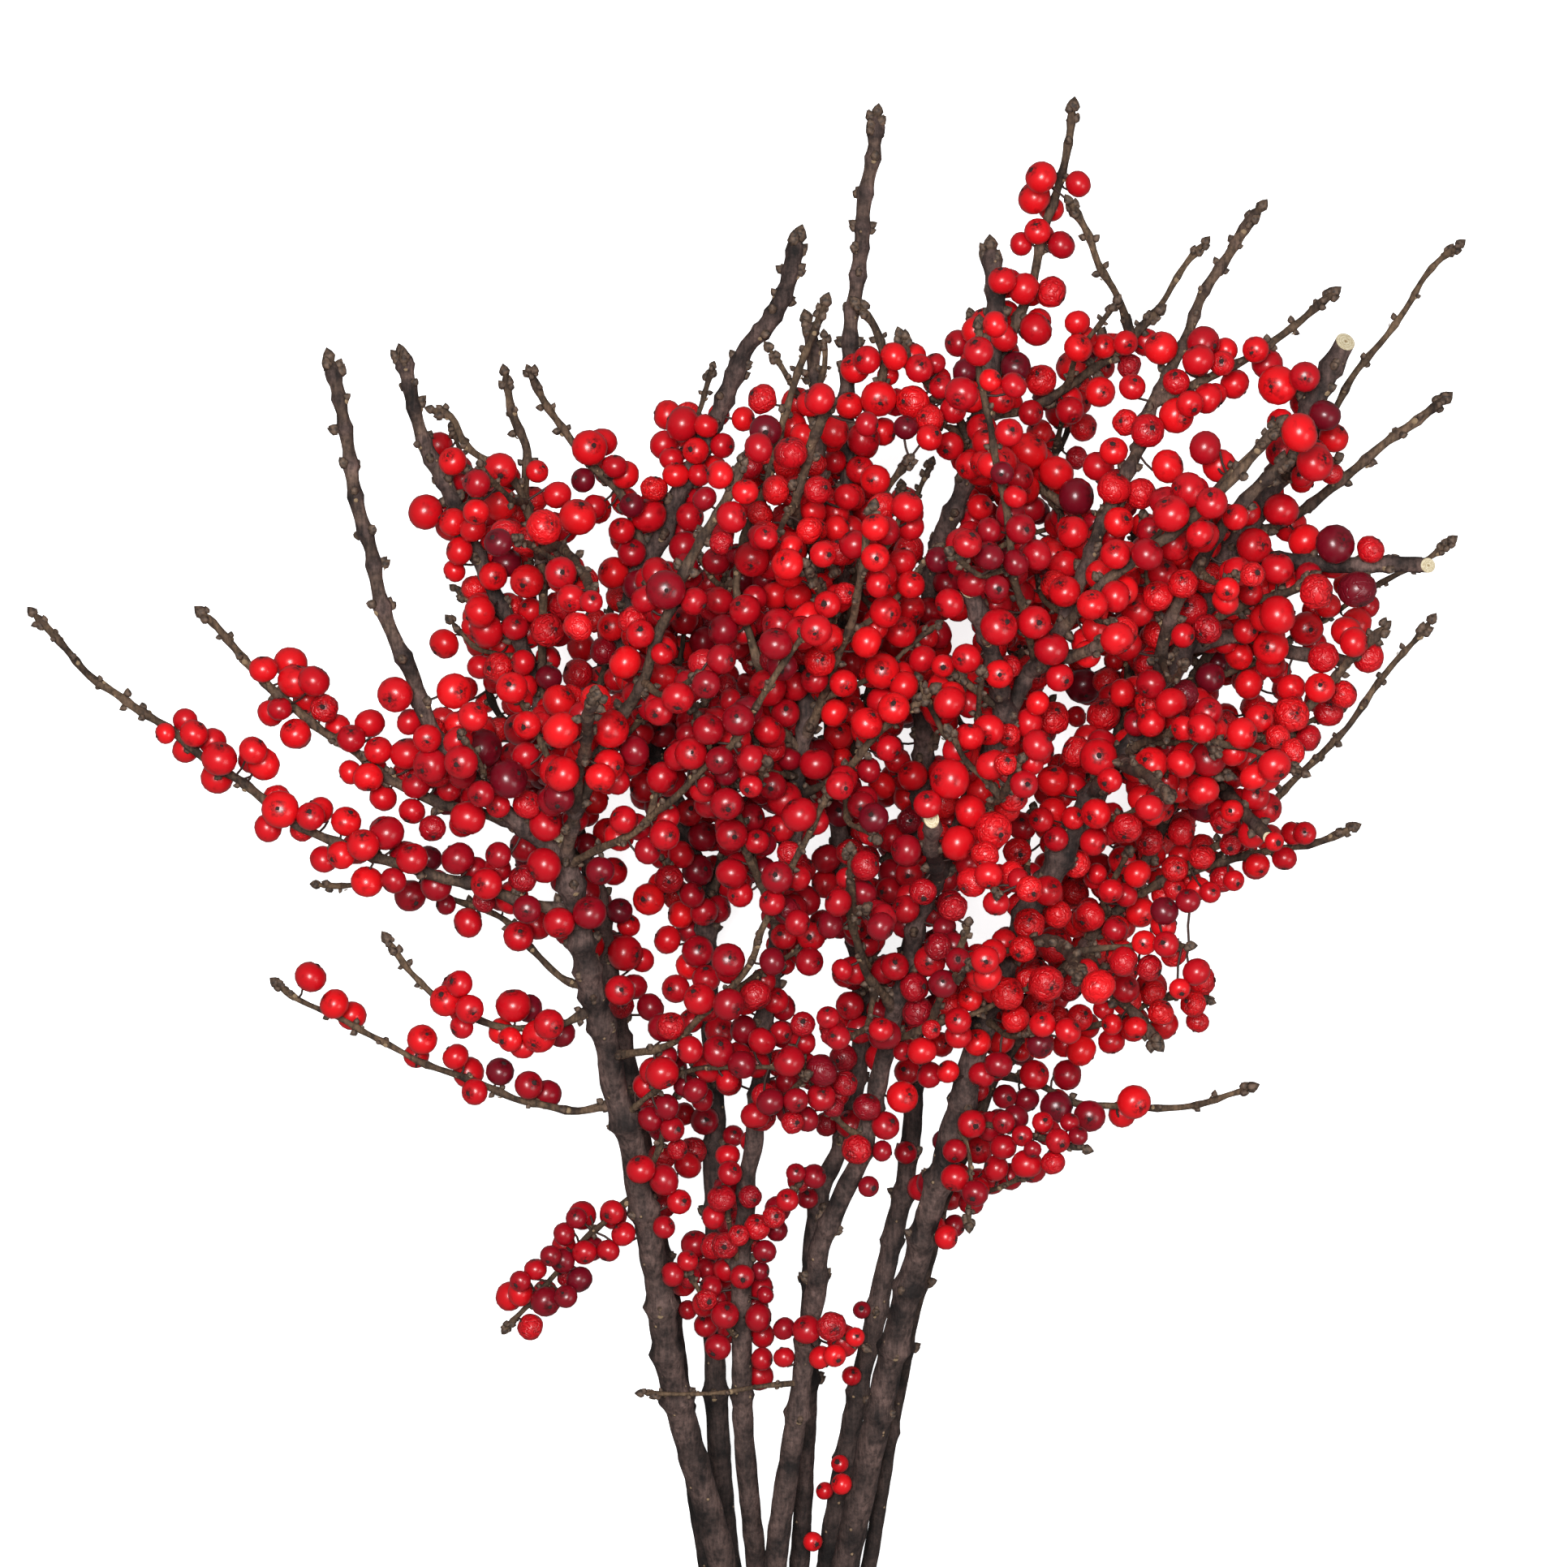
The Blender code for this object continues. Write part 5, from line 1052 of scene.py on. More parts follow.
    (124, 362, 9.5), (122.5, 357, 9), (129.5, 356, 7), (139.5, 360, 7.5), (143.5, 356.5, 9),
    (146, 349.5, 11), (154, 352, 8.5), (154, 344.5, 8.5), (152.5, 335.5, 11), (157, 326.5, 10.5),
    (162.5, 334, 8.5), (116, 350.5, 7.5), (120, 344, 7.5), (116, 340.5, 10), (107.5, 336, 9.5),
    (101, 338.5, 7.5), (124.5, 331, 9.5), (113.5, 325.5, 9.5), (66.5, 335.5, 8), (72.5, 330, 10.5),
    (64.5, 323.5, 6.5), (75.5, 335.5, 7.5), (88.5, 337, 8), (80.5, 323.5, 10), (86.5, 328, 6.5),
    (97.5, 330, 8), (93, 325.5, 9), (97.5, 319, 9.5), (105.5, 317.5, 9), (86.5, 316.5, 10.5),
    (119.5, 318.5, 10), (114.5, 311.5, 10.5), (108.5, 306.5, 8), (115.5, 302.5, 9.5), (99, 309, 8.5),
    (92, 309, 7), (85.5, 306, 9), (70, 307, 8.5), (60.5, 306.5, 7.5), (58, 313.5, 7.5),
    (54.5, 315.5, 7.5), (98, 299.5, 8.5), (93.5, 293.5, 8.5), (87.5, 292.5, 7), (83, 288.5, 9),
    (83.5, 282, 10), (98, 287, 9), (104.5, 283, 9.5), (111, 276, 9.5), (98.5, 274.5, 9.5),
    (120, 283.5, 10), (125.5, 292.5, 9), (112, 294, 8.5), (133.5, 310.5, 7.5), (139, 302, 10),
    (147, 312.5, 10), (154, 303.5, 9.5), (163, 302.5, 11), (173.5, 301, 8), (169.5, 289, 11),
    (157.5, 288.5, 10), (146, 281.5, 11), (154.5, 277.5, 9.5), (144, 272, 10), (136.5, 277, 7.5),
    (138, 288, 7), (138.5, 293.5, 7), (168.5, 273.5, 8.5), (159.5, 269, 9), (158.5, 260, 8.5),
    (150, 260, 8), (161, 253, 8.5), (150, 252, 10), (140.5, 251, 8), (146, 245.5, 7), (135.5, 246.5, 9),
    (137.5, 261, 8.5), (128.5, 267.5, 8), (126, 263, 8.5), (70, 287.5, 8.5), (63.5, 278, 10.5),
    (56, 291.5, 9), (49, 285, 8.5), (48, 291, 7.5), (52, 296.5, 7), (70.5, 271.5, 8), (73.5, 264.5, 10.5),
    (67, 255.5, 11.5), (75, 255.5, 7), (79.5, 251, 9.5), (92, 277.5, 8), (118, 275.5, 7), (81.5, 263, 8),
    (88.5, 260.5, 10), (97.5, 268, 6), (108, 267, 8), (100, 258.5, 8), (108.5, 261, 8.5),
    (114.5, 255.5, 9), (94.5, 252, 9.5), (86.5, 251.5, 6), (75, 243, 9), (66.5, 246, 6.5), (86.5, 241, 9),
    (93, 239.5, 10.5), (102, 243, 9.5), (108.5, 237.5, 9.5), (65.5, 237.5, 6.5), (79.5, 232.5, 9),
    (71, 231.5, 8), (67.5, 228, 9), (58.5, 229.5, 9), (55, 223.5, 9.5), (79.5, 223.5, 8), (76, 221, 7),
    (62, 218, 10.5), (70.5, 219, 8), (85.5, 221.5, 6.5), (69, 211.5, 8), (59.5, 210.5, 8),
    (91.5, 214.5, 8), (86.5, 214.5, 7.5), (101.5, 218.5, 8.5), (108, 214.5, 8), (117.5, 217.5, 8),
    (111, 227.5, 8), (108, 224.5, 8), (124, 229.5, 9), (125.5, 239, 10), (123.5, 248, 8.5),
    (125.5, 253, 8), (112.5, 243, 8), (132, 234, 8), (139, 233.5, 8), (139.5, 228, 8),
    (132.5, 223.5, 6.5), (150.5, 217, 7), (154, 217, 6.5), (148, 209.5, 7), (140, 207.5, 7),
    (145, 214.5, 5.5), (132, 213.5, 6), (133, 203, 6), (122.5, 200.5, 7), (126, 199.5, 6),
    (115.5, 200.5, 6.5), (115.5, 206.5, 7.5), (123.5, 210, 7.5), (112.5, 194, 8), (119.5, 197, 7),
    (105.5, 193.5, 8.5), (100, 209, 8), (104.5, 205, 8), (80.5, 205.5, 8), (60.5, 204.5, 8),
    (92.5, 205, 6),
    # the low right, from the end-on cluster down
    (72.5, 200.5, 7.5), (78, 200, 8.5), (86, 199.5, 8), (97.5, 194.5, 7), (98, 188.5, 7),
    (100.5, 179, 8.5), (72.5, 190, 9), (81, 193, 8), (90.5, 192.5, 8.5), (80, 184, 10.5), (91, 183.5, 11),
    (82.5, 180.5, 9.5), (66.5, 177.5, 8.5), (66, 169.5, 9.5), (77.5, 172.5, 10), (93, 171.5, 10),
    (101, 171, 8), (75.5, 166.5, 8.5), (84.5, 171, 7.5), (61.5, 164, 8), (68.5, 162, 8), (64, 156, 8.5),
    (76.5, 160.5, 7.5), (70, 152.5, 6), (74, 145.5, 8.5), (87.5, 162.5, 7.5), (84, 158.5, 7.5),
    (94.5, 165, 6), (97, 160.5, 6), (109, 170, 7.5), (111.5, 164, 7.5), (104, 159.5, 6.5),
    (121, 166.5, 7.5), (117, 171, 6), (123.5, 173.5, 8.5), (122, 176, 8), (103.5, 137.5, 9.5),
    (80.5, 136, 9), (65, 131.5, 6.5), (76.5, 131.5, 6), (70.5, 127.5, 6), (84.5, 131.5, 5.5),
    (87, 127.5, 5.5), (81, 126, 7), (73.5, 123.5, 5), (79.5, 119.5, 7), (55.5, 131, 8), (57.5, 123.5, 8),
    (50.5, 123, 7), (50.5, 115, 8), (56.5, 110.5, 7.5), (48, 97.5, 7), (59.5, 179.5, 8),
    (38.5, 171.5, 8.5), (47, 172.5, 8), (55, 168, 7), (51.5, 161.5, 7.5), (39.5, 164, 9),
    (43.5, 159, 5.5), (37, 158.5, 7.5), (35, 152.5, 5.5), (36.5, 146.5, 7.5), (43, 145.5, 7.5),
    (48.5, 146.5, 6.5), (46.5, 154.5, 7), (35, 139, 9), (30, 130.5, 8), (29, 123, 6), (36, 122.5, 6.5),
    # the low middle, down to the picture's edge
    (-32, 171, 8), (-25, 168, 9), (-8.5, 169, 9), (-2.5, 167.5, 7.5), (-39.5, 165.5, 8), (-33.5, 160, 8),
    (-27.5, 161.5, 7), (-19, 158.5, 8.5), (-19.5, 152.5, 9), (-12, 159, 8), (-6.5, 155.5, 8),
    (-1, 158, 6.5), (5.5, 160.5, 7), (13, 162.5, 6.5), (19.5, 166, 8), (28, 164.5, 7), (22.5, 159, 8),
    (16, 156.5, 7), (17.5, 150.5, 8), (28, 150.5, 8), (18, 143, 7.5), (1.5, 149.5, 9), (-12.5, 148.5, 8),
    (-36, 146, 9.5), (1, 143.5, 7), (-6, 139.5, 7), (-4, 137.5, 8), (3.5, 138, 7), (11, 139, 8),
    (14.5, 136, 6), (2.5, 131.5, 6.5), (6.5, 132.5, 7.5), (12.5, 131, 7), (19.5, 131, 8), (24.5, 136, 8),
    (-23.5, 132, 8), (-15, 127.5, 6), (-16, 116.5, 7), (-27, 123, 8), (-28.5, 119, 8), (-36, 121.5, 8),
    (-31.5, 123.5, 6), (-35.5, 114.5, 9), (-36, 107, 8), (-31, 108, 7), (-35.5, 100.5, 6.5),
    (-39.5, 132.5, 7.5), (-33, 129.5, 7), (-29.5, 134, 6.5), (-18.5, 109, 8), (-10, 109.5, 6.5),
    (-15.5, 106.5, 7.5), (-21, 103.5, 7), (-16, 101, 8), (-8, 100.5, 7.5), (-3, 103.5, 6.5),
    (1, 108.5, 6.5), (3.5, 116.5, 5.5), (9, 115.5, 7), (7, 109, 6), (25, 112.5, 6), (-17.5, 95, 7.5),
    (-13.5, 98, 6), (-28.5, 90.5, 6), (-22.5, 88, 6.5), (-33, 86.5, 7), (-28.5, 76, 5.5), (-23, 79, 6),
    (-15, 81, 7), (-17.5, 74.5, 8), (-23, 71.5, 7), (-5.5, 80.5, 5), (-7, 87.5, 5.5), (0, 70.5, 6.5),
    (-6.5, 61.5, 6.5), (0, 62, 6), (15, 62.5, 6.5), (20, 56.5, 5.5), (21, 68, 5.5), (23, 76, 5),
    (16.5, 30.5, 5), (17, 24.5, 6), (12, 22.5, 5), (8.5, 7.5, 5.5),
)

# Where the white table shows through the crown: a middle and a radius. No other berry is seen there.
SEEN_GAPS = (
    (-60, 301, 4.5), (-31, 284, 3), (39, 327, 6), (41, 321, 5), (45, 310, 6), (43, 303, 4), (40, 295, 3),
    (48, 322, 5), (53, 276, 5), (-26, 255, 2.5), (24, 257, 3), (12, 247, 3.5), (24, 240, 2.5),
    (40, 245, 6), (44, 243, 5), (-14, 230, 2.5), (11, 215, 2.5), (-21.5, 200, 3.5), (-19, 187, 4),
    (-9.5, 193, 5), (-9, 186, 6), (13.5, 195, 3), (16, 183, 4.5), (12, 179, 4), (32, 184, 4),
    (53, 250, 2.5), (90.5, 230, 2.5), (99.5, 228, 4), (73, 212, 3.5), (124, 219, 3.5), (120, 272, 4),
    (118.5, 265, 4.5), (131, 258, 4), (60, 187, 3.5), (65, 192, 3), (-41, 159, 3), (-10, 180, 4.5),
    (4, 173, 4.5), (12, 171, 5.5), (9, 166, 4), (26, 171, 4.5), (-14, 137, 4.5), (-2, 130, 3.5),
    (-2, 120, 7), (14, 124, 4), (-68, 170, 4), (-78, 176, 4), (-70, 243, 3), (-94, 284, 2),
)
# Berries
# Ripe berries, each on its own short stalk with the dried flower end outermost. Those that the photograph
# shows grow first, where it shows them. A seeded rule then fills the crown behind them, scar by scar.

# Filling berries: their radius and its spread, how far they stand off the bark, their room, how many try to
# fit at one leaf scar, and the steps between scars as shares of the twig's own gap.
BERRY_RADIUS = 4.3
BERRY_SPREAD = 0.42
BERRY_LIMITS = (3.3, 5.2)
BERRY_LIFT = (0.3, 4.2)
BERRY_GAP = 0.05
BERRY_PRESS = 0.7
BERRIES_AT_SCAR = (2, 3, 3, 4)
SCAR_STEPS = (0.5, 0.8)

# A seen berry grows a little larger than it was read, because it is then flattened and drawn in. It hangs
# this far off its twig, and its neighbours may squeeze it this much. A filling berry keeps this share of both
# radii away from a seen berry it would hide, and has to be within this share of one that covers it.
SWELL = 1.08
SEEN_LIFTS = (0.3, 1.5, 3.0, 4.5, 6.5, 9.0)
SEEN_PRESS = 0.6
HIDING = 0.72
COVERED = 0.7
CLEAR_OF_GAP = 0.45

# Deep in the crown, where at least this many seen berries lie within this distance, a filling berry needs no
# cover.
CROWDED = 6
CROWD_REACH = 17.0

# A twig whose tip comes down to the table ends in a berry that the bunch rests on.
RESTING_TIP = 8.0
RESTING_RADIUS = 4.8

Berry = namedtuple("Berry", "centre radius root along")


def grow_berries(wood):
    """The resting berries, the seen ones and, round each leaf scar, the filling ones that find room."""
    space = Space()
    for branch, twigs in wood.items():
        for number, twig in enumerate(twigs):
            for point, radius in zip(twig.spine, twig.radii):
                space.add(point, radius, (branch, number))
    berries = {branch: [] for branch in wood}
    for branch, twigs in wood.items():
        for twig in twigs:
            if twig.spine[-1].z < RESTING_TIP:
                berry = resting_berry(twig)
                berries[branch].append(berry)
                space.add(berry.centre, berry.radius, "berry")
    places = [(branch, number, i) for branch, twigs in wood.items() for number, twig in enumerate(twigs)
              for i in range(len(twig.spine))]
    spines = np.array([wood[branch][number].spine[i] for branch, number, i in places])
    thickness = np.array([wood[branch][number].radii[i] for branch, number, i in places])
    in_view = []
    for seen in sorted(SEEN_BERRIES, key=lambda seen: -seen[2]):
        found = seen_berry(seen, places, spines, thickness, space)
        if found:
            (branch, number, i), centre, radius = found
            twig = wood[branch][number]
            berries[branch].append(Berry(centre, radius, twig.spine[i], direction(twig.spine, i)))
            space.add(centre, radius, "berry")
            in_view.append((*seen[:2], seen[2] / 2 * SWELL, centre.z))
    in_view = np.array(in_view)
    draw = random.Random(SEED + 1)
    for branch, twigs in wood.items():
        for number, twig in enumerate(twigs):
            if not twig.berries:
                continue
            last = len(twig.spine) - 1
            at = twig.berries[0] * last * FINE_STEP
            turn = draw.uniform(0, math.tau)
            while at < twig.berries[1] * last * FINE_STEP:
                i = min(last, round(at / FINE_STEP))
                for _ in range(draw.choice(BERRIES_AT_SCAR)):
                    berry = fit_berry(twig, i, turn, draw, space, (branch, number), in_view)
                    if berry:
                        berries[branch].append(berry)
                        space.add(berry.centre, berry.radius, "berry")
                turn += SCAR_TURN
                at += twig.gap * draw.uniform(*SCAR_STEPS)
    return berries


def resting_berry(twig):
    """The berry at the tip of a twig that lies on the table."""
    tip, ahead = twig.spine[-1], direction(twig.spine, len(twig.spine) - 1)
    level = Vector((ahead.x, ahead.y, 0)).normalized()
    centre = Vector((tip.x, tip.y, RESTING_RADIUS)) + level * RESTING_RADIUS * 0.8
    return Berry(centre, RESTING_RADIUS, tip, level)


def seen_berry(seen, places, spines, thickness, space):
    """The place of a berry that is seen at x, y, on the uppermost twig that has room to carry it there."""
    x, y, across = seen
    nearer = (EYE_HEIGHT - (spines[:, 2] - MIDDLE_HEIGHT)) / EYE_HEIGHT
    wide = SEEN_CENTRE.x + (x - SEEN_CENTRE.x) * nearer - ORIGIN.x - spines[:, 0]
    high = SEEN_CENTRE.y + (y - SEEN_CENTRE.y) * nearer - ORIGIN.y - spines[:, 1]
    aside = np.hypot(wide, high)
    nearest_points = {}
    for n in np.flatnonzero(aside < thickness + across / 2 * nearer + SEEN_LIFTS[-1]):
        twig = places[n][:2]
        if twig not in nearest_points or aside[n] < aside[nearest_points[twig]]:
            nearest_points[twig] = n
    for lift in SEEN_LIFTS:
        for n in sorted(nearest_points.values(), key=lambda n: -spines[n, 2]):
            radius = across / 2 * SWELL * nearer[n]
            reach = thickness[n] + radius + lift
            if reach < aside[n]:
                continue
            centre = place((x, y, spines[n, 2] + math.sqrt(reach**2 - aside[n]**2)))
            if centre.z + radius < HIGHEST_WOOD and space.room(centre, radius, -SEEN_PRESS):
                return places[n], centre, radius
    return None


def seen_at(point):
    """Where the eye sees a point, on the middle plane."""
    nearer = (EYE_HEIGHT - (point.z - MIDDLE_HEIGHT)) / EYE_HEIGHT
    return (point.xy + ORIGIN - SEEN_CENTRE) / nearer + SEEN_CENTRE


def behind(centre, radius, in_view):
    """Whether a berry hides no seen one and no gap, and lies partly behind a seen one or in a crowd."""
    nearer = (EYE_HEIGHT - (centre.z - MIDDLE_HEIGHT)) / EYE_HEIGHT
    seen = seen_at(centre)
    away = np.hypot(in_view[:, 0] - seen.x, in_view[:, 1] - seen.y)
    apart = away / (in_view[:, 2] + radius / nearer)
    above = in_view[:, 3] > centre.z
    if np.any(apart[~above] < HIDING):
        return False
    if not np.any(apart[above] < COVERED) and np.count_nonzero(away < CROWD_REACH) < CROWDED:
        return False
    return all(math.hypot(x - seen.x, y - seen.y) > size + radius * CLEAR_OF_GAP for x, y, size in SEEN_GAPS)


def fit_berry(twig, i, turn, draw, space, owner, in_view):
    """One berry at point i of the twig, or none where eight tries find no room or it would show too much."""
    radius = max(BERRY_LIMITS[0], min(BERRY_LIMITS[1], draw.gauss(BERRY_RADIUS, BERRY_SPREAD)))
    along = direction(twig.spine, i)
    side = along.orthogonal().normalized()
    for attempt in range(TRIES):
        angle = turn + draw.uniform(-0.9, 0.9) * (1 + attempt * 0.35)
        outward = Matrix.Rotation(angle, 3, along) @ side
        lift = BERRY_LIFT[0] + (BERRY_LIFT[1] - BERRY_LIFT[0]) * draw.random() ** 2 * (attempt + 2) / 9
        centre = twig.spine[i] + outward * (twig.radii[i] + radius + lift) + along * draw.uniform(-0.5, 3.0)
        centre.z = max(centre.z, radius)
        if behind(centre, radius, in_view) and space.room(centre, radius, BERRY_GAP, own=owner,
                                                          own_gap=-BERRY_PRESS):
            return Berry(centre, radius, twig.spine[i], along)
    return None


berries = grow_berries(wood)

# Where frost has shrivelled whole clusters, as middles and reaches, and where single berries are overripe.
FROSTED = ((82, 183, 22), (50, 190, 14), (44, 168, 12), (10, 137, 18), (-33, 128, 12), (100, 327, 18),
           (115, 282, 14), (0, 318, 14), (-57, 278, 14), (-70, 308, 14), (152, 255, 14), (122, 208, 16),
           (58, 220, 14), (115, 168, 14), (-16, 105, 10), (20, 215, 10), (75, 258, 12))
OVERRIPE = ((169.5, 289), (163, 302.5), (80.5, 136), (88.5, 260.5), (86.5, 316.5), (36, 337), (128.5, 267.5),
            (126, 263), (112.5, 194), (-81.5, 233), (-89, 242), (-160, 244))

# Deep in the middle of the bunch, where little light comes, painted shade darkens the berries towards maroon.
PAINTED_SHADE_SPOTS = ((-25, 115, 62), (12, 190, 42), (-18, 232, 34), (-88, 208, 34), (-25, 295, 22), (-10, 262, 18),
          (66, 122, 30), (60, 297, 16))

# Ripe skin: a thin waxy red cuticle over juicy flesh. Each berry has its own red, from scarlet to crimson,
# darker with painted shade deep in the bunch, is dusky round its flower end, and where frost has shrivelled
# it, it is wrinkled and less glossy, with painted shade in its creases.
berry_skin = bpy.data.materials.new("ripe_berry_skin")
berry_skin.use_nodes = True
shade = berry_skin.node_tree
skin = shade.nodes["Principled BSDF"]
on_berry = add(shade, "ShaderNodeAttribute", attribute_name="on_berry").outputs["Vector"]
ripeness_and_shade = add(shade, "ShaderNodeAttribute", attribute_name="ripe").outputs["Fac"]
shrivel = add(shade, "ShaderNodeAttribute", attribute_name="shrivel").outputs["Fac"]
seed = add(shade, "ShaderNodeAttribute", attribute_name="seed").outputs["Fac"]
own = add(shade, "ShaderNodeVectorMath", {0: on_berry, 1: add(shade, "ShaderNodeCombineXYZ", {
    0: seed, 1: seed, 2: seed}).outputs[0]}, operation="ADD").outputs[0]
# The ramp's input holds each berry's ripeness plus the painted shade given to berries deep in the bunch.
reds = add(shade, "ShaderNodeValToRGB", {"Fac": ripeness_and_shade})
reds.color_ramp.elements[0].position, reds.color_ramp.elements[0].color = 0.0, colour("DE141A")
reds.color_ramp.elements[1].position, reds.color_ramp.elements[1].color = 1.0, colour("640C1C")
for stop, tint in ((0.35, "BE0E1A"), (0.7, "8E0A1A")):
    reds.color_ramp.elements.new(stop).color = colour(tint)
blotch = add(shade, "ShaderNodeTexNoise", {"Vector": own, "Scale": 1.3, "Detail": 3.0, "Roughness": 0.55})
dusk = add(shade, "ShaderNodeMapRange", {0: blotch.outputs["Fac"], 1: 0.60, 2: 0.78, 3: 0.0, 4: 0.55})
pole = add(shade, "ShaderNodeSeparateXYZ", {0: on_berry}).outputs[2]
halo = add(shade, "ShaderNodeMapRange", {0: pole, 1: 0.78, 2: 0.98, 3: 0.0, 4: 1.0},
           interpolation_type="SMOOTHSTEP")
speck = add(shade, "ShaderNodeTexNoise", {"Vector": own, "Scale": 4.5, "Detail": 4.0, "Roughness": 0.7})
broken = add(shade, "ShaderNodeMapRange", {0: speck.outputs["Fac"], 1: 0.40, 2: 0.62})
sooty = add(shade, "ShaderNodeMath", {0: halo.outputs[0], 1: broken.outputs[0]}, operation="MULTIPLY")
dark = add(shade, "ShaderNodeMath", {0: sooty.outputs[0], 1: dusk.outputs[0]}, operation="MAXIMUM")
dusky = add(shade, "ShaderNodeMix", {0: dark.outputs[0], 6: reds.outputs[0], 7: colour("3A0A0C")},
            data_type="RGBA")
worms = add(shade, "ShaderNodeTexNoise", {"Vector": own, "Scale": 1.9, "Detail": 1.6, "Roughness": 0.5,
                                          "Distortion": 0.9})
ridge = add(shade, "ShaderNodeMath", {0: worms.outputs["Fac"], 1: 0.5}, operation="SUBTRACT")
ridge = add(shade, "ShaderNodeMath", {0: ridge.outputs[0]}, operation="ABSOLUTE")
crease = add(shade, "ShaderNodeMapRange", {0: ridge.outputs[0], 1: 0.0, 2: 0.12},
             interpolation_type="SMOOTHSTEP")
deep = add(shade, "ShaderNodeMath", {0: crease.outputs[0], 1: shrivel}, operation="MULTIPLY")
pressed = add(shade, "ShaderNodeMath", {0: 1.0, 1: shrivel}, operation="SUBTRACT")
level = add(shade, "ShaderNodeMath", {0: deep.outputs[0], 1: pressed.outputs[0]}, operation="ADD")
# Painted shade: the creases between the wrinkles' ridges are coloured a darker red, where shade would fall.
painted_crease_shade = add(shade, "ShaderNodeMapRange", {0: level.outputs[0], 1: 0.0, 2: 0.7, 3: 0.22, 4: 0.0})
crease_shaded = add(shade, "ShaderNodeMix", {0: painted_crease_shade.outputs[0], 6: dusky.outputs[2], 7: colour("6A0C10")},
              data_type="RGBA")
pucker = add(shade, "ShaderNodeBump", {"Strength": 0.6, "Distance": 0.0007, "Height": level.outputs[0]})
dull = add(shade, "ShaderNodeMapRange", {0: shrivel, 1: 0.0, 2: 1.0, 3: 0.30, 4: 0.42})
for socket, output in (("Base Color", crease_shaded.outputs[2]), ("Normal", pucker.outputs[0]),
                       ("Roughness", dull.outputs[0])):
    shade.links.new(output, skin.inputs[socket])
skin.inputs["IOR"].default_value = 1.45
skin.inputs["Coat Weight"].default_value = 0.12
skin.inputs["Coat Roughness"].default_value = 0.12

# A berry: a ball of ninety-six faces that keeps its own coordinates, flattened a little from end to end,
# dimpled at the flower end, and drawn in unevenly where it has shrivelled.
berry_tree, given = new_tree("berry_on_stalk", [("Squat", "NodeSocketFloat"), ("Dimple", "NodeSocketFloat"),
                                                ("Shrink", "NodeSocketFloat"),
                                                ("Material", "NodeSocketMaterial")])
cube = add(berry_tree, "GeometryNodeMeshCube", {"Size": (2, 2, 2), "Vertices X": 5, "Vertices Y": 5,
                                                "Vertices Z": 5})
spot = add(berry_tree, "GeometryNodeInputPosition").outputs[0]
evened = add(berry_tree, "ShaderNodeVectorMath", {0: add(berry_tree, "ShaderNodeVectorMath", {
    0: spot, "Scale": math.pi / 4}, operation="SCALE").outputs[0]}, operation="TANGENT")
ball = add(berry_tree, "ShaderNodeVectorMath", {0: evened.outputs[0]}, operation="NORMALIZE")
ball = add(berry_tree, "GeometryNodeSetPosition", {"Geometry": cube.outputs[0], "Position": ball.outputs[0]})
ball = add(berry_tree, "GeometryNodeStoreNamedAttribute", {
    "Geometry": ball.outputs[0], "Name": "on_berry", "Value": spot}, data_type="FLOAT_VECTOR", domain="POINT")
ball = add(berry_tree, "GeometryNodeSetShadeSmooth", {"Geometry": ball.outputs[0]})
size = add(berry_tree, "GeometryNodeInputNamedAttribute", {"Name": "size"}, data_type="FLOAT").outputs[0]
placed = add(berry_tree, "GeometryNodeInstanceOnPoints", {
    "Points": given["Geometry"], "Instance": ball.outputs[0], "Rotation": turned_to(berry_tree, "outward"),
    "Scale": size})
real = add(berry_tree, "GeometryNodeRealizeInstances", {"Geometry": placed.outputs[0]})
on_berry = add(berry_tree, "GeometryNodeInputNamedAttribute", {"Name": "on_berry"},
               data_type="FLOAT_VECTOR").outputs[0]
outward = add(berry_tree, "GeometryNodeInputNamedAttribute", {"Name": "outward"},
              data_type="FLOAT_VECTOR").outputs[0]
centre = add(berry_tree, "GeometryNodeInputNamedAttribute", {"Name": "centre"},
             data_type="FLOAT_VECTOR").outputs[0]
shrivel = add(berry_tree, "GeometryNodeInputNamedAttribute", {"Name": "shrivel"},
              data_type="FLOAT").outputs[0]
seed = add(berry_tree, "GeometryNodeInputNamedAttribute", {"Name": "seed"}, data_type="FLOAT").outputs[0]
pole = add(berry_tree, "ShaderNodeSeparateXYZ", {0: on_berry}).outputs[2]
flatten = add(berry_tree, "ShaderNodeMath", {0: pole, 1: given["Squat"]}, operation="MULTIPLY")
hollow = add(berry_tree, "ShaderNodeMapRange", {0: pole, 1: 0.82, 2: 1.0, 3: 0.0, 4: given["Dimple"]},
             interpolation_type="SMOOTHSTEP")
inward = add(berry_tree, "ShaderNodeMath", {0: flatten.outputs[0], 1: hollow.outputs[0]}, operation="ADD")
inward = add(berry_tree, "ShaderNodeMath", {0: inward.outputs[0], 1: size}, operation="MULTIPLY")
inward = add(berry_tree, "ShaderNodeMath", {0: inward.outputs[0], 1: -1.0}, operation="MULTIPLY")
along_axis = add(berry_tree, "ShaderNodeVectorMath", {0: outward, "Scale": inward.outputs[0]},
                 operation="SCALE")
own = add(berry_tree, "ShaderNodeVectorMath", {0: on_berry, 1: add(berry_tree, "ShaderNodeCombineXYZ", {
    0: seed, 1: seed, 2: seed}).outputs[0]}, operation="ADD")
dents = add(berry_tree, "ShaderNodeTexNoise", {"Vector": own.outputs[0], "Scale": 1.6, "Detail": 1.0})
dent = add(berry_tree, "ShaderNodeMath", {0: dents.outputs["Fac"], 1: 0.52}, operation="SUBTRACT")
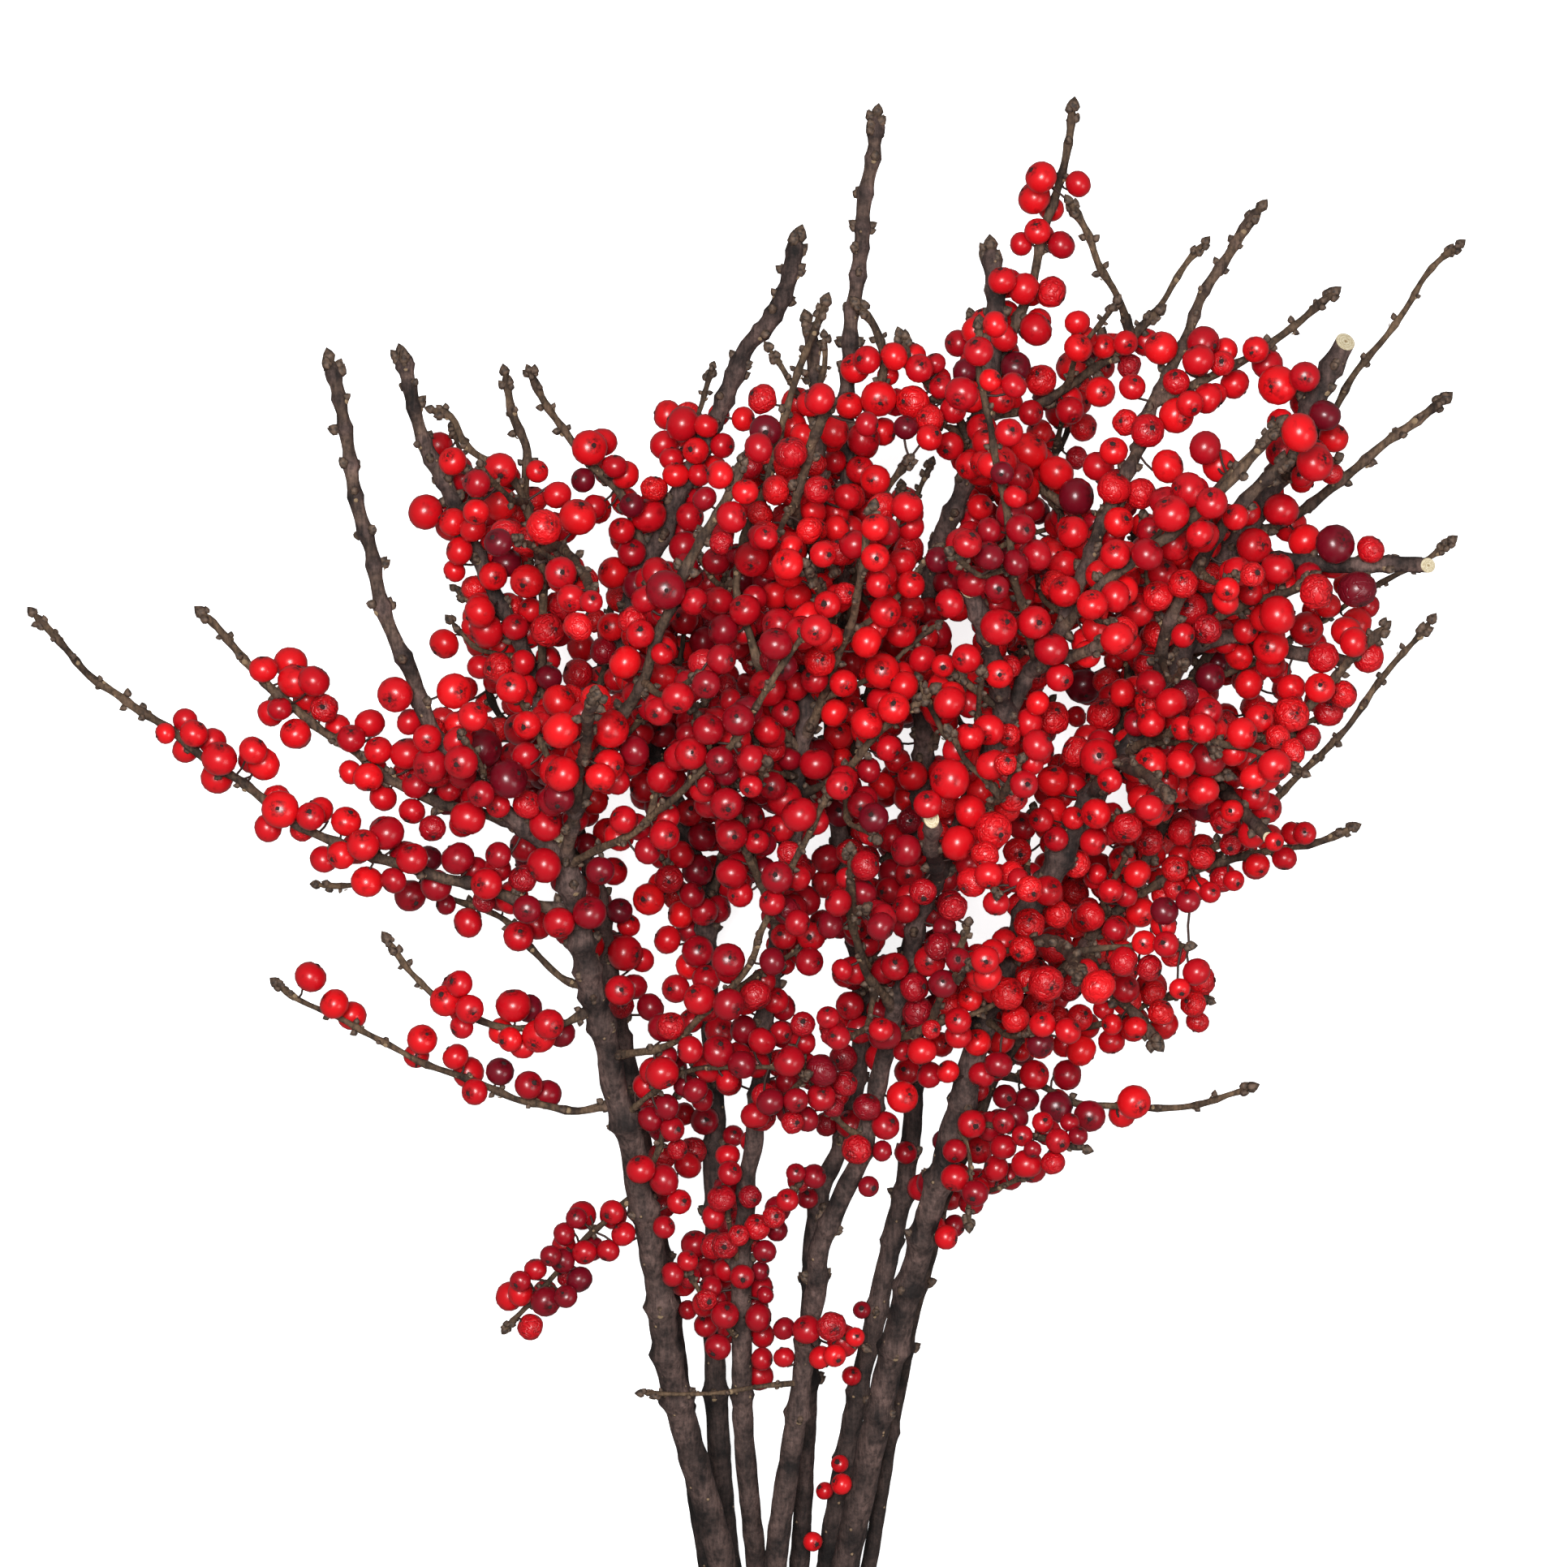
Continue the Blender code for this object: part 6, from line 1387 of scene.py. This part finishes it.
uneven = add(berry_tree, "ShaderNodeMath", {0: shrivel, 1: given["Shrink"], 2: 0.05},
             operation="MULTIPLY_ADD")
dent = add(berry_tree, "ShaderNodeMath", {0: dent.outputs[0], 1: uneven.outputs[0]}, operation="MULTIPLY")
from_centre = add(berry_tree, "ShaderNodeVectorMath", {0: spot, 1: centre}, operation="SUBTRACT")
drawn = add(berry_tree, "ShaderNodeVectorMath", {0: from_centre.outputs[0], "Scale": dent.outputs[0]},
            operation="SCALE")
moved = add(berry_tree, "ShaderNodeVectorMath", {0: along_axis.outputs[0], 1: drawn.outputs[0]},
            operation="ADD")
shaped = add(berry_tree, "GeometryNodeSetPosition", {"Geometry": real.outputs[0], "Offset": moved.outputs[0]})
end_tree(berry_tree, shaped.outputs[0], given["Material"])

# A berry's form: how far it is flattened and dimpled, and drawn in where it has shrivelled. Its axis strays
# from its stalk's. Then how many are wrinkled, inside frosted clusters and elsewhere, and by how much.
SQUAT = 0.07
DIMPLE = 0.06
SHRINK = 0.32
AXIS_STRAYS = 0.8
WRINKLED_IN_FROST = 0.62
WRINKLED_ELSEWHERE = 0.10
SHRIVEL = (0.3, 0.9)

# Ripeness, from scarlet at 0 to maroon at 1: the middle of its spread for plump and wrinkled skin, what
# painted shade adds deep in the bunch, the most that a common berry reaches, and an overripe one's, with the
# share that is overripe anywhere.
PLUMP_TONE = 0.16
WRINKLED_TONE = 0.06
TONE_SPREAD = 0.2
PAINTED_SHADE_ADDS = 0.34
RIPEST_COMMON = 0.85
OVERRIPE_TONE = 0.95
OVERRIPE_ANYWHERE = 0.02
draw = random.Random(SEED + 4)
looks = {}
for branch, grown in berries.items():
    ways, ripe, shrivels, seeds = [], [], [], []
    for berry in grown:
        away = (berry.centre - berry.root).normalized()
        jitter = Vector((draw.uniform(-1, 1), draw.uniform(-1, 1), draw.uniform(-1, 1))) * AXIS_STRAYS
        ways.append((away + berry.along * 0.35 + jitter).normalized())
        spot = seen_at(berry.centre)
        frosted = any(math.hypot(x - spot.x, y - spot.y) < reach for x, y, reach in FROSTED)
        wrinkled = draw.random() < (WRINKLED_IN_FROST if frosted else WRINKLED_ELSEWHERE)
        shrivels.append(draw.uniform(*SHRIVEL) if wrinkled else 0.0)
        overripe = any(math.hypot(x - spot.x, y - spot.y) < 1 for x, y in OVERRIPE)
        # Painted shade: berries in these spots get a darker red, standing in for the shadow deep in the
        # bunch.
        in_painted_shade = any(math.hypot(x - spot.x, y - spot.y) < reach for x, y, reach in PAINTED_SHADE_SPOTS)
        tone = abs(draw.gauss(WRINKLED_TONE if wrinkled else PLUMP_TONE, TONE_SPREAD))
        usual_tone_and_shade = min(RIPEST_COMMON, tone + (PAINTED_SHADE_ADDS if in_painted_shade else 0.0))
        ripe.append(OVERRIPE_TONE if overripe or draw.random() < OVERRIPE_ANYWHERE else usual_tone_and_shade)
        seeds.append(draw.uniform(0, 90))
    looks[branch] = ways
    points = [berry.centre for berry in grown]
    piece = make_points("berries_" + branch, points, outward=ways, centre=[p * MM for p in points],
                        size=[berry.radius * MM for berry in grown], ripe=ripe, shrivel=shrivels, seed=seeds)
    piece = grow_mesh(piece, berry_tree, Squat=SQUAT, Dimple=DIMPLE, Shrink=SHRINK, Material=berry_skin)
    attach(piece, "root")

# Flower ends and stalks
# Each berry keeps the dried end of its flower, a black-brown crusty dot over a millimetre wide, and hangs on
# a dark stalk a few millimetres long that grows out of the leaf scar.

# The crust is sunk by this share of the berry's radius, so that it sits fast in its dimple.
FLOWER_END_RADIUS = (0.5, 0.9)
FLOWER_END_DEPTH = 0.3
FLOWER_END_RAGGED = 0.55
FLOWER_END_SUNK = 0.012
STALK_RADIUS = 0.36

dried_flower = plain_material("dried_flower_end", "2A1210", 0.85)
stalk_skin = plain_material("stalk_skin", "3B2620", 0.7)

draw = random.Random(SEED + 5)
for branch, grown in berries.items():
    ends = [berry.centre + way * berry.radius * (1 - SQUAT - DIMPLE - FLOWER_END_SUNK)
            for berry, way in zip(grown, looks[branch])]
    piece = make_points("flower_ends_" + branch, ends, outward=looks[branch],
                        size=[draw.uniform(*FLOWER_END_RADIUS) * MM for _ in ends])
    piece = grow_mesh(piece, disc_tree, Depth=FLOWER_END_DEPTH, Ragged=FLOWER_END_RAGGED * MM,
                      Material=dried_flower)
    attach(piece, "root")
    points, edges = [], []
    for berry, way in zip(grown, looks[branch]):
        base = berry.centre - way * berry.radius * 0.9
        first = len(points)
        points += [berry.root, berry.root.lerp(base, 0.55) - berry.along * 0.4, base]
        edges += [(first, first + 1), (first + 1, first + 2)]
    piece = make_points("stalks_" + branch, points, edges, thick=[STALK_RADIUS * MM] * len(points))
    piece = grow_mesh(piece, tube_tree, Sides=4, Warts=0.0, Wart_Length=1 * MM, Material=stalk_skin)
    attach(piece, "root")

# Table, light and camera
# A plain pale table top under soft studio light from above, with the camera looking straight down on it.

# The table reaches far enough, in metres, that no view sees its edge. The picture is this many millimetres
# wide on the level through the middle of the bunch.
TABLE_REACH = 30.0
SEEN_WIDTH = 463.7
SENSOR_WIDTH = 36.0

floor = bpy.data.meshes.new("table_top")
corners = [(x * TABLE_REACH, y * TABLE_REACH, 0) for x, y in ((-1, -1), (1, -1), (1, 1), (-1, 1))]
floor.from_pydata(corners, [], [(0, 1, 2, 3)])
table_top = bpy.data.objects.new("table_top", floor)
bpy.context.scene.collection.objects.link(table_top)
paper = plain_material("white_paper", "FAFAFA", 0.9)
paper.node_tree.nodes["Principled BSDF"].inputs["Emission Color"].default_value = colour("FFFFFF")
paper.node_tree.nodes["Principled BSDF"].inputs["Emission Strength"].default_value = 0.8
floor.materials.append(paper)
# The paper glows white but throws no light up, as on a lit table that is masked round the bunch.
table_top.visible_diffuse = False
table_top.visible_glossy = False

world = bpy.data.worlds.new("studio")
world.use_nodes = True
world.node_tree.nodes["Background"].inputs["Color"].default_value = colour("FFFFFF")
world.node_tree.nodes["Background"].inputs["Strength"].default_value = 0.17
bpy.context.scene.world = world
bpy.context.scene.view_settings.view_transform = "Standard"


def soft_box(name, place, aim, size, power):
    light = bpy.data.lights.new(name, "AREA")
    light.shape = "SQUARE"
    light.size = size
    light.energy = power
    made = bpy.data.objects.new(name, light)
    made.location = place
    made.rotation_euler = (Vector(aim) - Vector(place)).to_track_quat("-Z", "Y").to_euler()
    bpy.context.scene.collection.objects.link(made)


soft_box("soft_box_above", (-0.10, 0.22, 1.6), (0, 0.05, 0.1), 0.5, 27)
soft_box("soft_box_side", (0.9, -0.3, 1.0), (0, 0.05, 0.1), 0.6, 4)

camera = bpy.data.cameras.new("camera")
camera.sensor_width = SENSOR_WIDTH
camera.lens = SENSOR_WIDTH * EYE_HEIGHT / SEEN_WIDTH
camera.clip_start = 0.01
eye = bpy.data.objects.new("camera", camera)
eye.location = ((SEEN_CENTRE.x - ORIGIN.x) * MM, (SEEN_CENTRE.y - ORIGIN.y) * MM,
                (EYE_HEIGHT + MIDDLE_HEIGHT) * MM)
bpy.context.scene.collection.objects.link(eye)
bpy.context.scene.camera = eye
